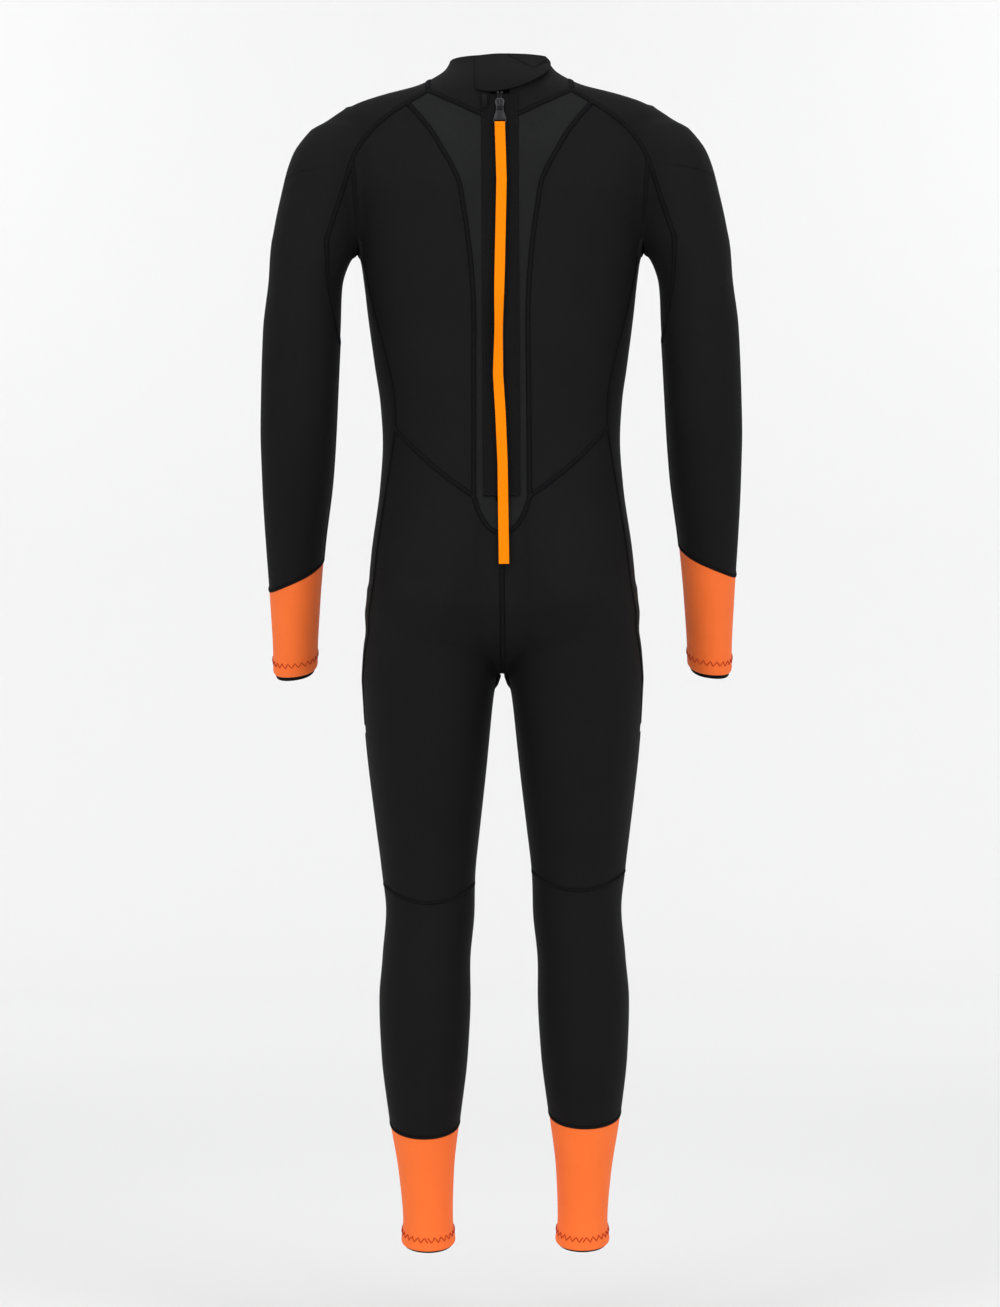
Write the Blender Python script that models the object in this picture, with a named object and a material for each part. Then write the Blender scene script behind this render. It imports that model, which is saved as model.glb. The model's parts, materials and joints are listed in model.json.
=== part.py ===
"""Full wetsuit with a back zip: neoprene panels, cuffs, collar, and a zip that runs. Metres, +Z up.

The back of the suit faces -Y and the wearer's right is +X. The origin is the centre of the neck
opening, in the plane of the collar's rim. Every panel is a patch of one body surface, cut along
the seam lines below and thickened inwards.
"""
import math

import bmesh
import bpy
import numpy as np

# Driving dimensions, in metres.
SHEET = 0.003            # neoprene
SEAM_GAP = 0.0015        # each panel stops this far from its seam line
SLIT_HALF = 0.0065       # the back panel's slit for the zip
TAPE_HALF = 0.0205       # outer edge of the zip tape, from the centre line
ZIP_TOP, ZIP_END = -0.052, -0.549
ZIP_Y, ZIP_SLOPE = -0.0777, 0.055     # the zip's straight line: its depth at ZIP_TOP, and its lean
CUFF_LINING_DROP = 0.005
CHAIN_GAP, CHAIN_HALF = 0.0008, 0.0036
CHAIN_OUT, CHAIN_IN = -0.0023, 0.0004
SLIDER_HALF, SLIDER_REST = 0.0075, -0.0128
TAB_PIVOT, TAB_LENGTH, TAB_THICK = (-0.0058, -0.0026), 0.0225, 0.0014
STRAP_PIVOT, STRAP_LENGTH = -0.02175, 0.544
STRAP_WIDTH, STRAP_THICK = 0.0126, 0.0012
STRAP_DRIFT = [(0, 0), (0.01, 0.0002), (0.07, 0.0017), (0.22, -0.0021), (0.31, -0.0038), (0.36, -0.001),
               (0.42, 0.0012), (0.55, 0.0024)]
FLAP_ROOT_X = -0.030
KEEPER_X, KEEPER_WIDTH, KEEPER_TOP, KEEPER_LENGTH = -0.0188, 0.007, 0.0005, 0.018
BLACK = (0.02, 0.02, 0.022)
ORANGE = (1.0, 0.17, 0.03)
ZIP_TAPE = (0.012, 0.012, 0.013)
METAL = (0.35, 0.35, 0.36)
STRAP_ORANGE = (1.0, 0.27, 0.01)


def profile(*keys, soft=0.010):
    """Smooth curve through (position, value) keys: a monotone cubic, then a short running mean."""
    at, value = np.array(sorted(keys)).T
    step = np.diff(at)
    rise = np.diff(value) / step
    inner = 2 * rise[1:] * rise[:-1] / (rise[1:] + rise[:-1] + 1e-12)
    slope = np.r_[rise[0], np.where(rise[1:] * rise[:-1] > 0, inner, 0), rise[-1]]
    grid = np.arange(at[0] - 0.05, at[-1] + 0.05, 0.001)
    q = np.clip(grid, at[0], at[-1])
    i = np.clip(np.searchsorted(at, q) - 1, 0, len(step) - 1)
    t = (q - at[i]) / step[i]
    table = (value[i] * (1 + 2 * t) * (1 - t) ** 2 + value[i + 1] * t * t * (3 - 2 * t)
             + step[i] * slope[i] * t * (1 - t) ** 2 - step[i] * slope[i + 1] * t * t * (1 - t))
    half = int(soft * 1000)
    kernel = np.hanning(2 * half + 3)
    table = np.convolve(np.pad(table, half + 1, mode="edge"), kernel / kernel.sum(), "valid")
    return lambda h: np.interp(h, grid, table)


def zip_line(height):
    """Depth of the straight line down the middle of the back."""
    return ZIP_Y - ZIP_SLOPE * (ZIP_TOP - height)


# The body's sections, as (height, value) keys. Trunk: half width, depth in front and behind.
TRUNK_WIDE = profile(
    (0.05, 0.0600), (0, 0.0620), (-0.012, 0.068), (-0.024, 0.085), (-0.035, 0.110), (-0.044, 0.148),
    (-0.057, 0.186), (-0.076, 0.207), (-0.111, 0.208), (-0.151, 0.199), (-0.201, 0.184), (-0.251, 0.174),
    (-0.321, 0.166), (-0.381, 0.158), (-0.431, 0.151), (-0.476, 0.1485), (-0.531, 0.152), (-0.621, 0.164),
    (-0.655, 0.1665), (-0.685, 0.1650), (-0.71, 0.148), (-0.73, 0.120), (-0.75, 0.060), soft=0.005)
TRUNK_FRONT = profile(
    (0.05, 0.058), (0, 0.060), (-0.021, 0.066), (-0.051, 0.080), (-0.091, 0.098), (-0.151, 0.115),
    (-0.231, 0.124), (-0.321, 0.116), (-0.411, 0.104), (-0.491, 0.100), (-0.571, 0.103),
    (-0.651, 0.098), (-0.715, 0.070), (-0.75, 0.02))
TRUNK_BACK = profile(
    (0.05, 0.058), (0, 0.060), (-0.012, 0.066), (-0.036, -zip_line(-0.036)), (-0.052, -zip_line(-0.052)),
    (-0.655, -zip_line(-0.655)), (-0.68, -zip_line(-0.68)), (-0.72, 0.090), (-0.75, 0.02), soft=0.004)
# Shoulder blades and seat, beside the straight centre line, and the chest.
BACK_SWELL = profile(
    (0.05, 0), (-0.05, 0), (-0.11, 0.008), (-0.18, 0.016), (-0.26, 0.012), (-0.35, 0.004), (-0.46, 0),
    (-0.55, 0.006), (-0.63, 0.021), (-0.68, 0.027), (-0.73, 0.020), (-0.75, 0), soft=0.02)
CHEST_SWELL = profile(
    (0.05, 0), (-0.11, 0), (-0.19, 0.008), (-0.25, 0.006), (-0.31, 0), (-0.75, 0), soft=0.02)
TRUNK_END = -0.75
# Arm: axis in X and Y, half width and half depth.
ARM_X = profile(
    (-0.06, 0.190), (-0.091, 0.203), (-0.116, 0.212), (-0.154, 0.218), (-0.199, 0.2265), (-0.225, 0.2315),
    (-0.243, 0.2365), (-0.281, 0.2440), (-0.336, 0.2485), (-0.451, 0.2535), (-0.521, 0.256),
    (-0.607, 0.2605), (-0.745, 0.264), (-0.80, 0.265), soft=0.006)
ARM_Y = profile(
    (-0.06, 0), (-0.191, -0.004), (-0.341, -0.012), (-0.451, -0.008), (-0.521, 0.010), (-0.607, 0.040),
    (-0.745, 0.094), (-0.80, 0.112), soft=0.03)
ARM_WIDE = profile(
    (-0.06, 0.018), (-0.075, 0.028), (-0.091, 0.038), (-0.116, 0.047), (-0.154, 0.053), (-0.199, 0.0545),
    (-0.225, 0.0545), (-0.243, 0.0515), (-0.281, 0.0465), (-0.336, 0.0485), (-0.451, 0.0475),
    (-0.521, 0.0445), (-0.607, 0.037), (-0.681, 0.0315), (-0.745, 0.0285), (-0.80, 0.0285), soft=0.006)
ARM_DEEP = profile(
    (-0.06, 0.030), (-0.091, 0.050), (-0.116, 0.058), (-0.154, 0.062), (-0.199, 0.063), (-0.261, 0.061),
    (-0.336, 0.058), (-0.391, 0.055), (-0.451, 0.053), (-0.521, 0.052), (-0.607, 0.0465), (-0.681, 0.040),
    (-0.745, 0.035), (-0.80, 0.034))
ARM_TOP, ARM_END = -0.085, -0.80
# Leg: axis in X and Y, half width and half depth.
LEG_X = profile(
    (-0.40, 0.082), (-0.611, 0.082), (-0.691, 0.086), (-0.75, 0.0915), (-0.791, 0.0935), (-0.875, 0.0945),
    (-1.011, 0.0940), (-1.061, 0.092), (-1.121, 0.097), (-1.171, 0.099), (-1.321, 0.100), (-1.461, 0.0965),
    (-1.52, 0.096))
LEG_Y = profile(
    (-0.40, -0.010), (-0.691, -0.012), (-0.791, -0.008), (-0.891, 0.004), (-0.991, 0.010), (-1.061, 0.010),
    (-1.121, -0.002), (-1.191, -0.010), (-1.291, -0.006), (-1.391, 0), (-1.52, 0.002), soft=0.03)
LEG_WIDE = profile(
    (-0.40, 0.058), (-0.611, 0.058), (-0.671, 0.0690), (-0.705, 0.0815), (-0.735, 0.0835), (-0.77, 0.0835),
    (-0.791, 0.0815),
    (-0.875, 0.0740), (-0.963, 0.0640), (-1.011, 0.0585), (-1.061, 0.0550), (-1.121, 0.0545),
    (-1.171, 0.0565), (-1.241, 0.0535), (-1.321, 0.0440), (-1.391, 0.0345), (-1.450, 0.0312),
    (-1.470, 0.0335), (-1.49, 0.0365), (-1.52, 0.037), soft=0.008)
LEG_DEEP = profile(
    (-0.40, 0.070), (-0.611, 0.070), (-0.671, 0.092), (-0.735, 0.096), (-0.791, 0.0940), (-0.875, 0.0870),
    (-0.963, 0.0750), (-1.011, 0.0670), (-1.061, 0.0620), (-1.121, 0.0620), (-1.171, 0.0640),
    (-1.241, 0.0600), (-1.321, 0.0490), (-1.391, 0.0400), (-1.450, 0.0360), (-1.470, 0.038), (-1.49, 0.041),
    (-1.52, 0.042), soft=0.008)
LEG_TOP = -0.66

# Seam lines on the right half, as (x, height) seen from behind.
PRINCESS = [(0.1141, -0.0602), (0.0835, -0.0986), (0.0712, -0.1195), (0.0602, -0.139), (0.0516, -0.158),
            (0.0461, -0.187), (0.0418, -0.215), (0.0381, -0.246), (0.0340, -0.300), (0.0336, -0.400),
            (0.0343, -0.549)]
BACK_YOKE = [(0.0343, -0.549), (0.0618, -0.529), (0.0920, -0.504), (0.1324, -0.462)]
BACK_POINT = [(0.0, -0.596), (0.0123, -0.590), (0.0257, -0.573), (0.0343, -0.549)]
RAGLAN = [(0.0888, -0.0456), (0.1141, -0.0602), (0.1511, -0.086), (0.1764, -0.1157)]
SIDE_SEAM = [(0.1651, -0.283), (0.1559, -0.324), (0.1410, -0.381), (0.1330, -0.425), (0.1324, -0.462),
             (0.1348, -0.480), (0.1472, -0.558), (0.1546, -0.609), (0.1605, -0.660)]
SIDE_TAIL_END, SIDE_TAIL_HALF = -0.83, math.radians(7)
COLLAR_BACK = [(0.0110, -0.0800), (0.0215, -0.0765), (0.0550, -0.0611), (0.0888, -0.0456)]
COLLAR_FRONT = [(0.0888, -0.0456), (0.0750, -0.059), (0.0450, -0.079), (0.0, -0.090)]
FRONT_YOKE = [(0.0, -0.700), (0.050, -0.680), (0.100, -0.630)]
FRONT_YOKE_END = -0.540
GUSSET_TURN = math.radians(74)       # half the underarm gusset's wrap, about the arm
CORNER_TURN = math.radians(60)       # half its wrap at the armhole
GUSSET_TOP, GUSSET_TIP = -0.226, -0.353
SIDE_START_TURN = math.radians(36)   # where the side seams leave the armhole
INSEAM, OUTSEAM = math.radians(-98), math.radians(96)
KNEE_PAD_TOP, KNEE_PAD_END = -1.012, -1.168


def bump(x, low, high):
    t = np.clip((np.abs(x) - low) / (high - low), 0, 1)
    return t * t * (3 - 2 * t)


def oval(x, y, wide, deep, power=2.0):
    """How far (x, y) lies outside the oval |x/wide|^p + |y/deep|^p = 1, along its ray."""
    reach = np.hypot(x, y) + 1e-9
    size = (np.abs(x / wide) ** power + np.abs(y / deep) ** power) ** (1 / power) + 1e-9
    return reach * (1 - 1 / size)


def trunk(x, y, z):
    side = np.abs(x)
    back = TRUNK_BACK(z) + BACK_SWELL(z) * bump(side, 0.0215, 0.085)
    front = TRUNK_FRONT(z) + CHEST_SWELL(z) * bump(side, 0.01, 0.07)
    return oval(side, y, TRUNK_WIDE(z), np.where(y > 0, front, back), 2.3) + 2 * np.maximum(0, TRUNK_END - z)


def arm(x, y, z):
    ends = np.maximum(0, z - ARM_TOP) + np.maximum(0, ARM_END - z)
    return oval(np.abs(x) - ARM_X(z), y - ARM_Y(z), ARM_WIDE(z), ARM_DEEP(z)) + ends


def leg(x, y, z):
    return oval(x - LEG_X(z), y - LEG_Y(z), LEG_WIDE(z), LEG_DEEP(z)) + np.maximum(0, z - LEG_TOP)


def blend(a, b, width):
    """Smooth lower of two distances."""
    h = np.maximum(width - np.abs(a - b), 0) / width
    return np.minimum(a, b) - h * h * width / 4


def body(x, y, z):
    legs = blend(leg(x, y, z), leg(-x, y, z), 0.03)
    return blend(blend(trunk(x, y, z), legs, 0.035), arm(x, y, z), 0.02)


def crossing(value, start, toward, far):
    """Distance along each ray at which value turns positive, by halving; far where it never does."""
    low, high = np.zeros(len(start)), np.broadcast_to(far, len(start)).astype(float)
    inside = value(*(start + toward * high[:, None]).T) < 0
    low = np.where(inside, high, low)
    for _ in range(26):
        middle = (low + high) / 2
        inside = value(*(start + toward * middle[:, None]).T) < 0
        low, high = np.where(inside, middle, low), np.where(inside, high, middle)
    return (low + high) / 2


def cast(start, toward, beyond, far):
    """Surface points along rays from inside, stopped where beyond says that another limb begins."""
    limit = crossing(beyond, start, toward, far)
    return start + toward * crossing(body, start, toward, limit)[:, None]


def flat_ray(angle):
    return np.stack([np.sin(angle), -np.cos(angle), 0 * angle], -1)


def trunk_points(angle, height):
    """Points around the trunk: angle 0 at the centre back, +90 degrees at the right side."""
    angle, height = np.broadcast_arrays(angle, height)
    a, h = angle.ravel(), height.ravel()
    start = np.stack([0 * h, 0 * h, h], -1)
    p = cast(start, flat_ray(a), lambda x, y, z: trunk(x, y, z) - arm(x, y, z), 0.36)
    return p.reshape(angle.shape + (3,))


def past_the_leg(x, y, z):
    """Positive on the other half of the suit, and nearer to the arm than to the hip."""
    return np.maximum(-x, np.minimum(trunk(x, y, z), leg(x, y, z)) - arm(x, y, z))


def past_the_arm(x, y, z):
    """Positive nearer to the trunk or the hip than to the arm."""
    return arm(x, y, z) - np.minimum(trunk(x, y, z), leg(x, y, z))


def leg_points(angle, height):
    """Points around the right leg and hip: angle 0 at the back, +90 degrees at the outer side."""
    angle, height = np.broadcast_arrays(angle, height)
    a, h = angle.ravel(), height.ravel()
    start = np.stack([LEG_X(h), LEG_Y(h), h], -1)
    p = cast(start, flat_ray(a), past_the_leg, 0.145)
    return p.reshape(angle.shape + (3,))


def arm_points(turn, height):
    """Points around the right arm: turn 0 at its outer side, +90 degrees at the back."""
    turn, height = np.broadcast_arrays(turn, height)
    w, h = turn.ravel(), height.ravel()
    start = np.stack([ARM_X(h), ARM_Y(h), h], -1)
    toward = np.stack([np.cos(w), -np.sin(w), 0 * w], -1)
    return cast(start, toward, past_the_arm, 0.15).reshape(turn.shape + (3,))


def trunk_polar(p):
    return np.stack([np.arctan2(p[..., 0], -p[..., 1]) % (2 * math.pi), p[..., 2]], -1)


def leg_polar(p):
    h = p[..., 2]
    return np.stack([np.arctan2(p[..., 0] - LEG_X(h), LEG_Y(h) - p[..., 1]), h], -1)


def leg_polar_front(p):
    polar = leg_polar(p)
    return np.stack([polar[..., 0] % (2 * math.pi), polar[..., 1]], -1)


def lift(points, side):
    """Seam points given as (x, height), put on the back (side -1) or front (+1) of the surface."""
    x, h = np.asarray(points, float).T
    start = np.stack([x, 0 * x - 0.008, h], -1)
    toward = np.tile([0.0, side, 0.0], (len(x), 1))
    return start + toward * crossing(body, start, toward, 0.16)[:, None]


def curve(points, count):
    """Evenly spaced points on a smooth curve through the given ones."""
    p = np.asarray(points, float)
    at = np.r_[0, np.cumsum(np.linalg.norm(np.diff(p, axis=0), axis=1))]
    slope = np.gradient(p, at, axis=0)
    q = np.linspace(0, at[-1], 40 * len(p))
    i = np.clip(np.searchsorted(at, q) - 1, 0, len(at) - 2)
    step = (at[i + 1] - at[i])[:, None]
    t = (q - at[i])[:, None] / step
    fine = (p[i] * (1 + 2 * t) * (1 - t) ** 2 + p[i + 1] * t * t * (3 - 2 * t)
            + step * slope[i] * t * (1 - t) ** 2 - step * slope[i + 1] * t * t * (1 - t))
    return spread(fine, count)


def spread(points, count):
    """The same line with evenly spaced points."""
    at = np.r_[0, np.cumsum(np.linalg.norm(np.diff(points, axis=0), axis=1))]
    q = np.linspace(0, at[-1], count)
    return np.stack([np.interp(q, at, column) for column in points.T], -1)


def coons(left, right, top, bottom):
    """Grid that fills four edges: left and right run down, top and bottom run across."""
    v, u = np.linspace(0, 1, len(left))[:, None, None], np.linspace(0, 1, len(top))[None, :, None]
    across = left[:, None] * (1 - u) + right[:, None] * u
    down = top[None] * (1 - v) + bottom[None] * v
    corners = ((left[0] * (1 - u) + right[0] * u) * (1 - v) + (left[-1] * (1 - u) + right[-1] * u) * v)
    return across + down - corners


def chain(*pieces):
    """Lines laid end to end, each (points, count) evenly spaced, with their corners kept."""
    lines = [spread(points, count) for points, count in pieces]
    return np.vstack([lines[0]] + [line[1:] for line in lines[1:]])


def patch(to_polar, to_points, left, right, top, bottom):
    """Surface grid between four seam lines given as points."""
    grid = coons(*[to_polar(edge) for edge in (left, right, top, bottom)])
    return to_points(grid[..., 0], grid[..., 1])


def leg_patch(to_polar, left, right, top, bottom):
    """patch for a leg, with angles as shares between its long edges, so that no row crosses them."""
    sides = [to_polar(edge) for edge in (left, right)]

    def limits(height):
        return [np.interp(-height, -side[:, 1], side[:, 0]) for side in sides]

    edges = []
    for edge in (left, right, top, bottom):
        angle, height = to_polar(edge).T
        first, last = limits(height)
        edges.append(np.stack([(angle - first) / (last - first), height], -1))
    share, height = np.moveaxis(coons(*edges), -1, 0)
    first, last = limits(height)
    return leg_points(first + (last - first) * share, height)


def crease(turn):
    """Highest point of the armpit gap, as seen from the arm's axis at each turn."""
    turn = np.asarray(turn, float)
    low, high = np.full(turn.shape, -0.32), np.full(turn.shape, -0.13)
    for _ in range(24):
        middle = (low + high) / 2
        p = arm_points(turn, middle)
        closed = body(*p.T) < -1e-5
        high, low = np.where(closed, middle, high), np.where(closed, low, middle)
    return low - 0.001


def armhole(first, last, count):
    turn = math.pi - np.linspace(first, last, count)
    return arm_points(turn, crease(turn))


def wrist_seam(turn):
    return -0.632 - 0.018 * np.cos(turn) - 0.011 * np.sin(turn)


def wrist_hem(turn):
    return -0.759 - 0.0035 * np.cos(turn) - 0.012 * np.sin(turn)


def knee_seam(angle):
    return -1.022 - 0.021 * np.cos(angle) ** 2


def ankle_seam(angle):
    return -1.321 - 0.015 * np.cos(angle)


def ankle_hem(angle):
    return -1.4745 - 0.010 * np.cos(angle)


def raglan_line(side, count):
    """Raglan seam as (x, height) on the back (side -1) or front (+1), from collar to armhole."""
    corner = armhole(-side * CORNER_TURN, 0, 2)[0]
    return curve(RAGLAN + [(corner[0], corner[2])], count)


def gusset_flank(side, share):
    """Turn and height along the gusset's edge, from its corner at the armhole to its widest place."""
    top = float(crease(math.pi - side * CORNER_TURN))
    turn = side * (CORNER_TURN + (GUSSET_TURN - CORNER_TURN) * share)
    return turn, top + (GUSSET_TOP - top) * share


def gusset_tail(side, share):
    """Turn and height along the gusset's edge, from its widest place to its tip: a parabola."""
    return side * GUSSET_TURN * (1 - share), GUSSET_TOP + (GUSSET_TIP - GUSSET_TOP) * (1 - (1 - share) ** 2)


def sleeve_grid(rows, columns):
    """Rows that fan over the shoulder from the raglan seam, then run down the arm to the cuff."""
    fan, flank, tail, lower = rows
    u = np.linspace(0, 1, columns)
    behind, ahead = raglan_line(-1, fan), raglan_line(1, fan)
    grid = []
    for k in range(fan):
        place = behind[k] + (ahead[k] - behind[k]) * u[:, None]
        lean = math.radians(90 * (1 - k / (fan - 1)))
        w = math.pi * (0.5 - u)
        toward = np.stack([np.cos(w) * math.cos(lean), -np.sin(w), np.cos(w) * math.sin(lean)], -1)
        start = np.stack([place[:, 0], 0 * u - 0.008, place[:, 1]], -1)
        grid.append(start + toward * crossing(body, start, toward, 0.16)[:, None])
    steps = [(gusset_flank, k / flank) for k in range(1, flank + 1)]
    steps += [(gusset_tail, k / tail) for k in range(1, tail + 1)]
    for edge, share in steps:
        turns, heights = np.array([edge(1, share), edge(-1, share)]).T
        ends = arm_points(math.pi - turns, heights)
        h = heights[0] + (heights[1] - heights[0]) * u
        slide = np.clip((behind[-1, 1] - h) / 0.05, 0, 1)
        centre = np.stack([behind[-1, 0] + (ARM_X(h) - behind[-1, 0]) * slide, ARM_Y(h), h], -1)
        reach = ends - centre[[0, -1]]
        first, last = np.arctan2(-reach[:, 1], reach[:, 0])
        w = np.linspace(first % (2 * math.pi), last % (-2 * math.pi), columns)
        toward = np.stack([np.cos(w), -np.sin(w), 0 * w], -1)
        grid.append(cast(centre, toward, past_the_arm, 0.15))
    w = np.linspace(math.pi, -math.pi, columns)
    for share in np.linspace(0, 1, lower + 1)[1:]:
        grid.append(arm_points(w, GUSSET_TIP + share * (wrist_seam(w) - GUSSET_TIP)))
    return np.array(grid)


def gusset_grid(rows, tail):
    """The underarm gusset, from the armhole down to the parabola that the sleeve is cut along."""
    share = np.linspace(-1, 1, 2 * tail + 1)
    top = crease(math.pi - share * CORNER_TURN)
    turn_low, bottom = gusset_tail(np.sign(share), 1 - np.abs(share))
    v = np.linspace(0, 1, rows)[:, None]
    turn = share * CORNER_TURN * (1 - v) + turn_low * v
    return arm_points(math.pi - turn, top + (bottom - top) * v)


def tube_grid(to_points, top, bottom, rows, columns, turns=(0, 2 * math.pi)):
    """Rows round a limb between two seam heights given as functions of the angle."""
    angle = np.linspace(*turns, columns)
    v = np.linspace(0, 1, rows)[:, None]
    return to_points(np.tile(angle, (rows, 1)), top(angle) + (bottom(angle) - top(angle)) * v)


def leg_edge(angles, top, bottom, count):
    """A seam down the leg, from one angle to another."""
    return leg_points(np.linspace(*angles, count), np.linspace(top, bottom, count))


def leg_band(height, first, last, count):
    angle = np.linspace(first, last, count)
    return leg_points(angle, height(angle))


def side_line(side, first, last):
    """The side panel's seam between two heights, on the back (side -1) or the front (+1)."""
    start = armhole(SIDE_START_TURN, 0, 2)[0]
    upper = lift(curve([(start[0], start[2])] + SIDE_SEAM, 80), -1)
    if side > 0:
        start = armhole(-SIDE_START_TURN, 0, 2)[:1]
        turn, height = leg_polar(upper).T
        height_ahead = np.r_[start[0, 2], height[height < start[0, 2]]]
        turn_ahead = math.pi - np.interp(-height_ahead, -height, turn)
        fade = np.exp(-((start[0, 2] - height_ahead) / 0.04))
        turn_ahead += (leg_polar(start)[0, 0] - turn_ahead[0]) * fade
        upper = np.vstack([start, leg_points(turn_ahead, height_ahead)[1:]])
    turns = (leg_polar(upper[-1])[0], math.pi / 2 + side * SIDE_TAIL_HALF)
    tail = leg_edge(turns, upper[-1, 2], SIDE_TAIL_END, 20)
    line = np.vstack([upper, tail[1:]])
    ends = [np.array([np.interp(-h, -line[:, 2], c) for c in line.T]) for h in (first, last)]
    inside = (line[:, 2] < first - 1e-6) & (line[:, 2] > last + 1e-6)
    if first > line[0, 2]:
        ends[0] = line[0]
        inside[0] = False
    return np.vstack([ends[:1], line[inside], ends[1:]])


def crotch():
    """The lowest point where the two legs join, on the centre line."""
    low, high = -0.85, -0.72
    for _ in range(30):
        middle = (low + high) / 2
        if body(0.0, float(LEG_Y(middle)), middle) < 0:
            high = middle
        else:
            low = middle
    return high


def centre_line(side, top):
    """The centre seam from a height down to the crotch, on the back or the front."""
    height = np.linspace(top, crotch() + 0.0015, 40)
    return lift(np.stack([0 * height, height], -1), side)


def outseam(bottom):
    return leg_edge((math.pi / 2, OUTSEAM), SIDE_TAIL_END - 0.010, bottom, 30)


def inseam(bottom):
    return leg_edge((-math.pi / 2, INSEAM), crotch() - 0.004, bottom, 30)


def both(line):
    """A line from the right side to the centre, carried on to the left side."""
    return np.vstack([line, line[-2::-1] * np.array([-1, 1, 1])])


# ---- building objects ----

def material(name, colour, roughness, metallic=0.0):
    made = bpy.data.materials.new(name)
    made.use_nodes = True
    shader = made.node_tree.nodes["Principled BSDF"]
    shader.inputs["Base Color"].default_value = (*colour, 1)
    shader.inputs["Roughness"].default_value = roughness
    shader.inputs["Metallic"].default_value = metallic
    return made


def put(name, mesh, finish, parent=None):
    """An object of its own with its finish, under a parent empty or none."""
    made = bpy.data.objects.new(name, mesh)
    bpy.context.scene.collection.objects.link(made)
    mesh.materials.append(finish)
    made.parent = parent
    return made


def inset(grid, gap, sides):
    """Pull the grid's border rows (r) and columns (c) in from the seam lines."""
    grid = grid.copy()
    for letter, view in (("r", grid), ("c", grid.swapaxes(0, 1))):
        if letter in sides:
            for edge, inner in ((0, 1), (-1, -2)):
                way = view[inner] - view[edge]
                view[edge] += gap * way / np.linalg.norm(way, axis=-1, keepdims=True)
    return grid


def shell(name, grid, finish, thick=SHEET, sides="rc", ring=False, flip=False, gap=SEAM_GAP, offset=-1):
    """A grid of points as a closed sheet, thickened inwards. ring joins the last column to the first."""
    grid = inset(grid, gap, sides)
    if flip:
        grid = grid[:, ::-1] * np.array([-1, 1, 1])
    if ring:
        grid = grid[:, :-1]
    rows, columns = grid.shape[:2]
    number = np.arange(rows * columns).reshape(rows, columns)
    if ring:
        number = np.hstack([number, number[:, :1]])
    quads = np.stack([number[:-1, :-1], number[1:, :-1], number[1:, 1:], number[:-1, 1:]], -1).reshape(-1, 4)
    mesh = bpy.data.meshes.new(name)
    mesh.from_pydata(grid.reshape(-1, 3).tolist(), [], quads.tolist())
    mesh.update()
    mesh.shade_smooth()
    made = put(name, mesh, finish)
    wall = made.modifiers.new("thickness", "SOLIDIFY")
    wall.thickness = thick
    wall.offset = offset
    return made


def pair(name, grid, finish, **options):
    """The same panel on both sides of the suit."""
    shell(name + "_right", grid, finish, **options)
    shell(name + "_left", grid, finish, flip=True, **options)


def offset_grid(grid, distance):
    """The grid moved outwards along its own normals."""
    across, down = np.gradient(grid, axis=1), np.gradient(grid, axis=0)
    normal = np.cross(down, across)
    return grid + distance * normal / np.linalg.norm(normal, axis=-1, keepdims=True)


# ---- panels ----

def centre_back(finish):
    """The lyre-shaped panel round the zip: a horseshoe grid from the slit out to the princess seams."""
    end = ZIP_END - 0.002
    quarter = np.linspace(0, math.pi / 2, 7)

    def straight_then_round(half, top):
        turn = np.stack([half * np.cos(quarter), end - half * np.sin(quarter)], -1)
        return chain((np.array([(half, top), (half, end)]), 24), (turn, 7))

    raglan = raglan_line(-1, 200)
    outer = chain((raglan[raglan[:, 0] <= PRINCESS[0][0]], 4), (curve(PRINCESS, 200), 21),
                  (curve(BACK_POINT[::-1], 60), 7))
    slit, tape = straight_then_round(SLIT_HALF, -0.0815), straight_then_round(TAPE_HALF + 0.001, -0.0765)
    share = np.linspace(0, 1, 4)[:, None, None]
    columns = np.vstack([slit[None], tape[None] * (1 - share) + outer[None] * share])
    half = columns.swapaxes(0, 1)
    whole = np.vstack([half, half[-2::-1] * np.array([-1, 1])])
    points = lift(whole.reshape(-1, 2), -1)
    shell("zip_panel", points.reshape(whole.shape[:2] + (3,)), finish)


def back_panels(finish):
    princess = lift(curve(PRINCESS, 60), -1)[2:]
    raglan = lift(raglan_line(-1, 200), -1)
    raglan = raglan[raglan[:, 0] > PRINCESS[0][0] + 0.006]
    corner = armhole(CORNER_TURN, SIDE_START_TURN, 30)
    outer = chain((raglan, 6), (corner, 5), (side_line(-1, 0, -0.462), 15))
    top = chain((np.array([princess[0], outer[0]]), 7))
    bottom = chain((lift(curve(BACK_YOKE, 60), -1), 7))
    inner = chain((princess, 24))
    pair("back_panel", patch(trunk_polar, trunk_points, inner, outer, top, bottom), finish, gap=0.0022)


def side_panels(finish):
    def edge(side):
        return chain((side_line(side, 0, -0.660), 17), (side_line(side, -0.660, SIDE_TAIL_END), 8))

    back, front = edge(-1), edge(1)
    top = chain((armhole(SIDE_START_TURN, -SIDE_START_TURN, 60), 5))
    bottom = chain((np.array([back[-1], front[-1]]), 5))
    pair("side_panel", patch(leg_polar, leg_points, back, front, top, bottom), finish, gap=0.0022)


def front_hip():
    """The front panel's lower seam on the right half, from the side seam to the centre."""
    end = side_line(1, FRONT_YOKE_END, FRONT_YOKE_END - 0.01)[0]
    return lift(curve((FRONT_YOKE + [(end[0], end[2])])[::-1], 60), 1)


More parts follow.
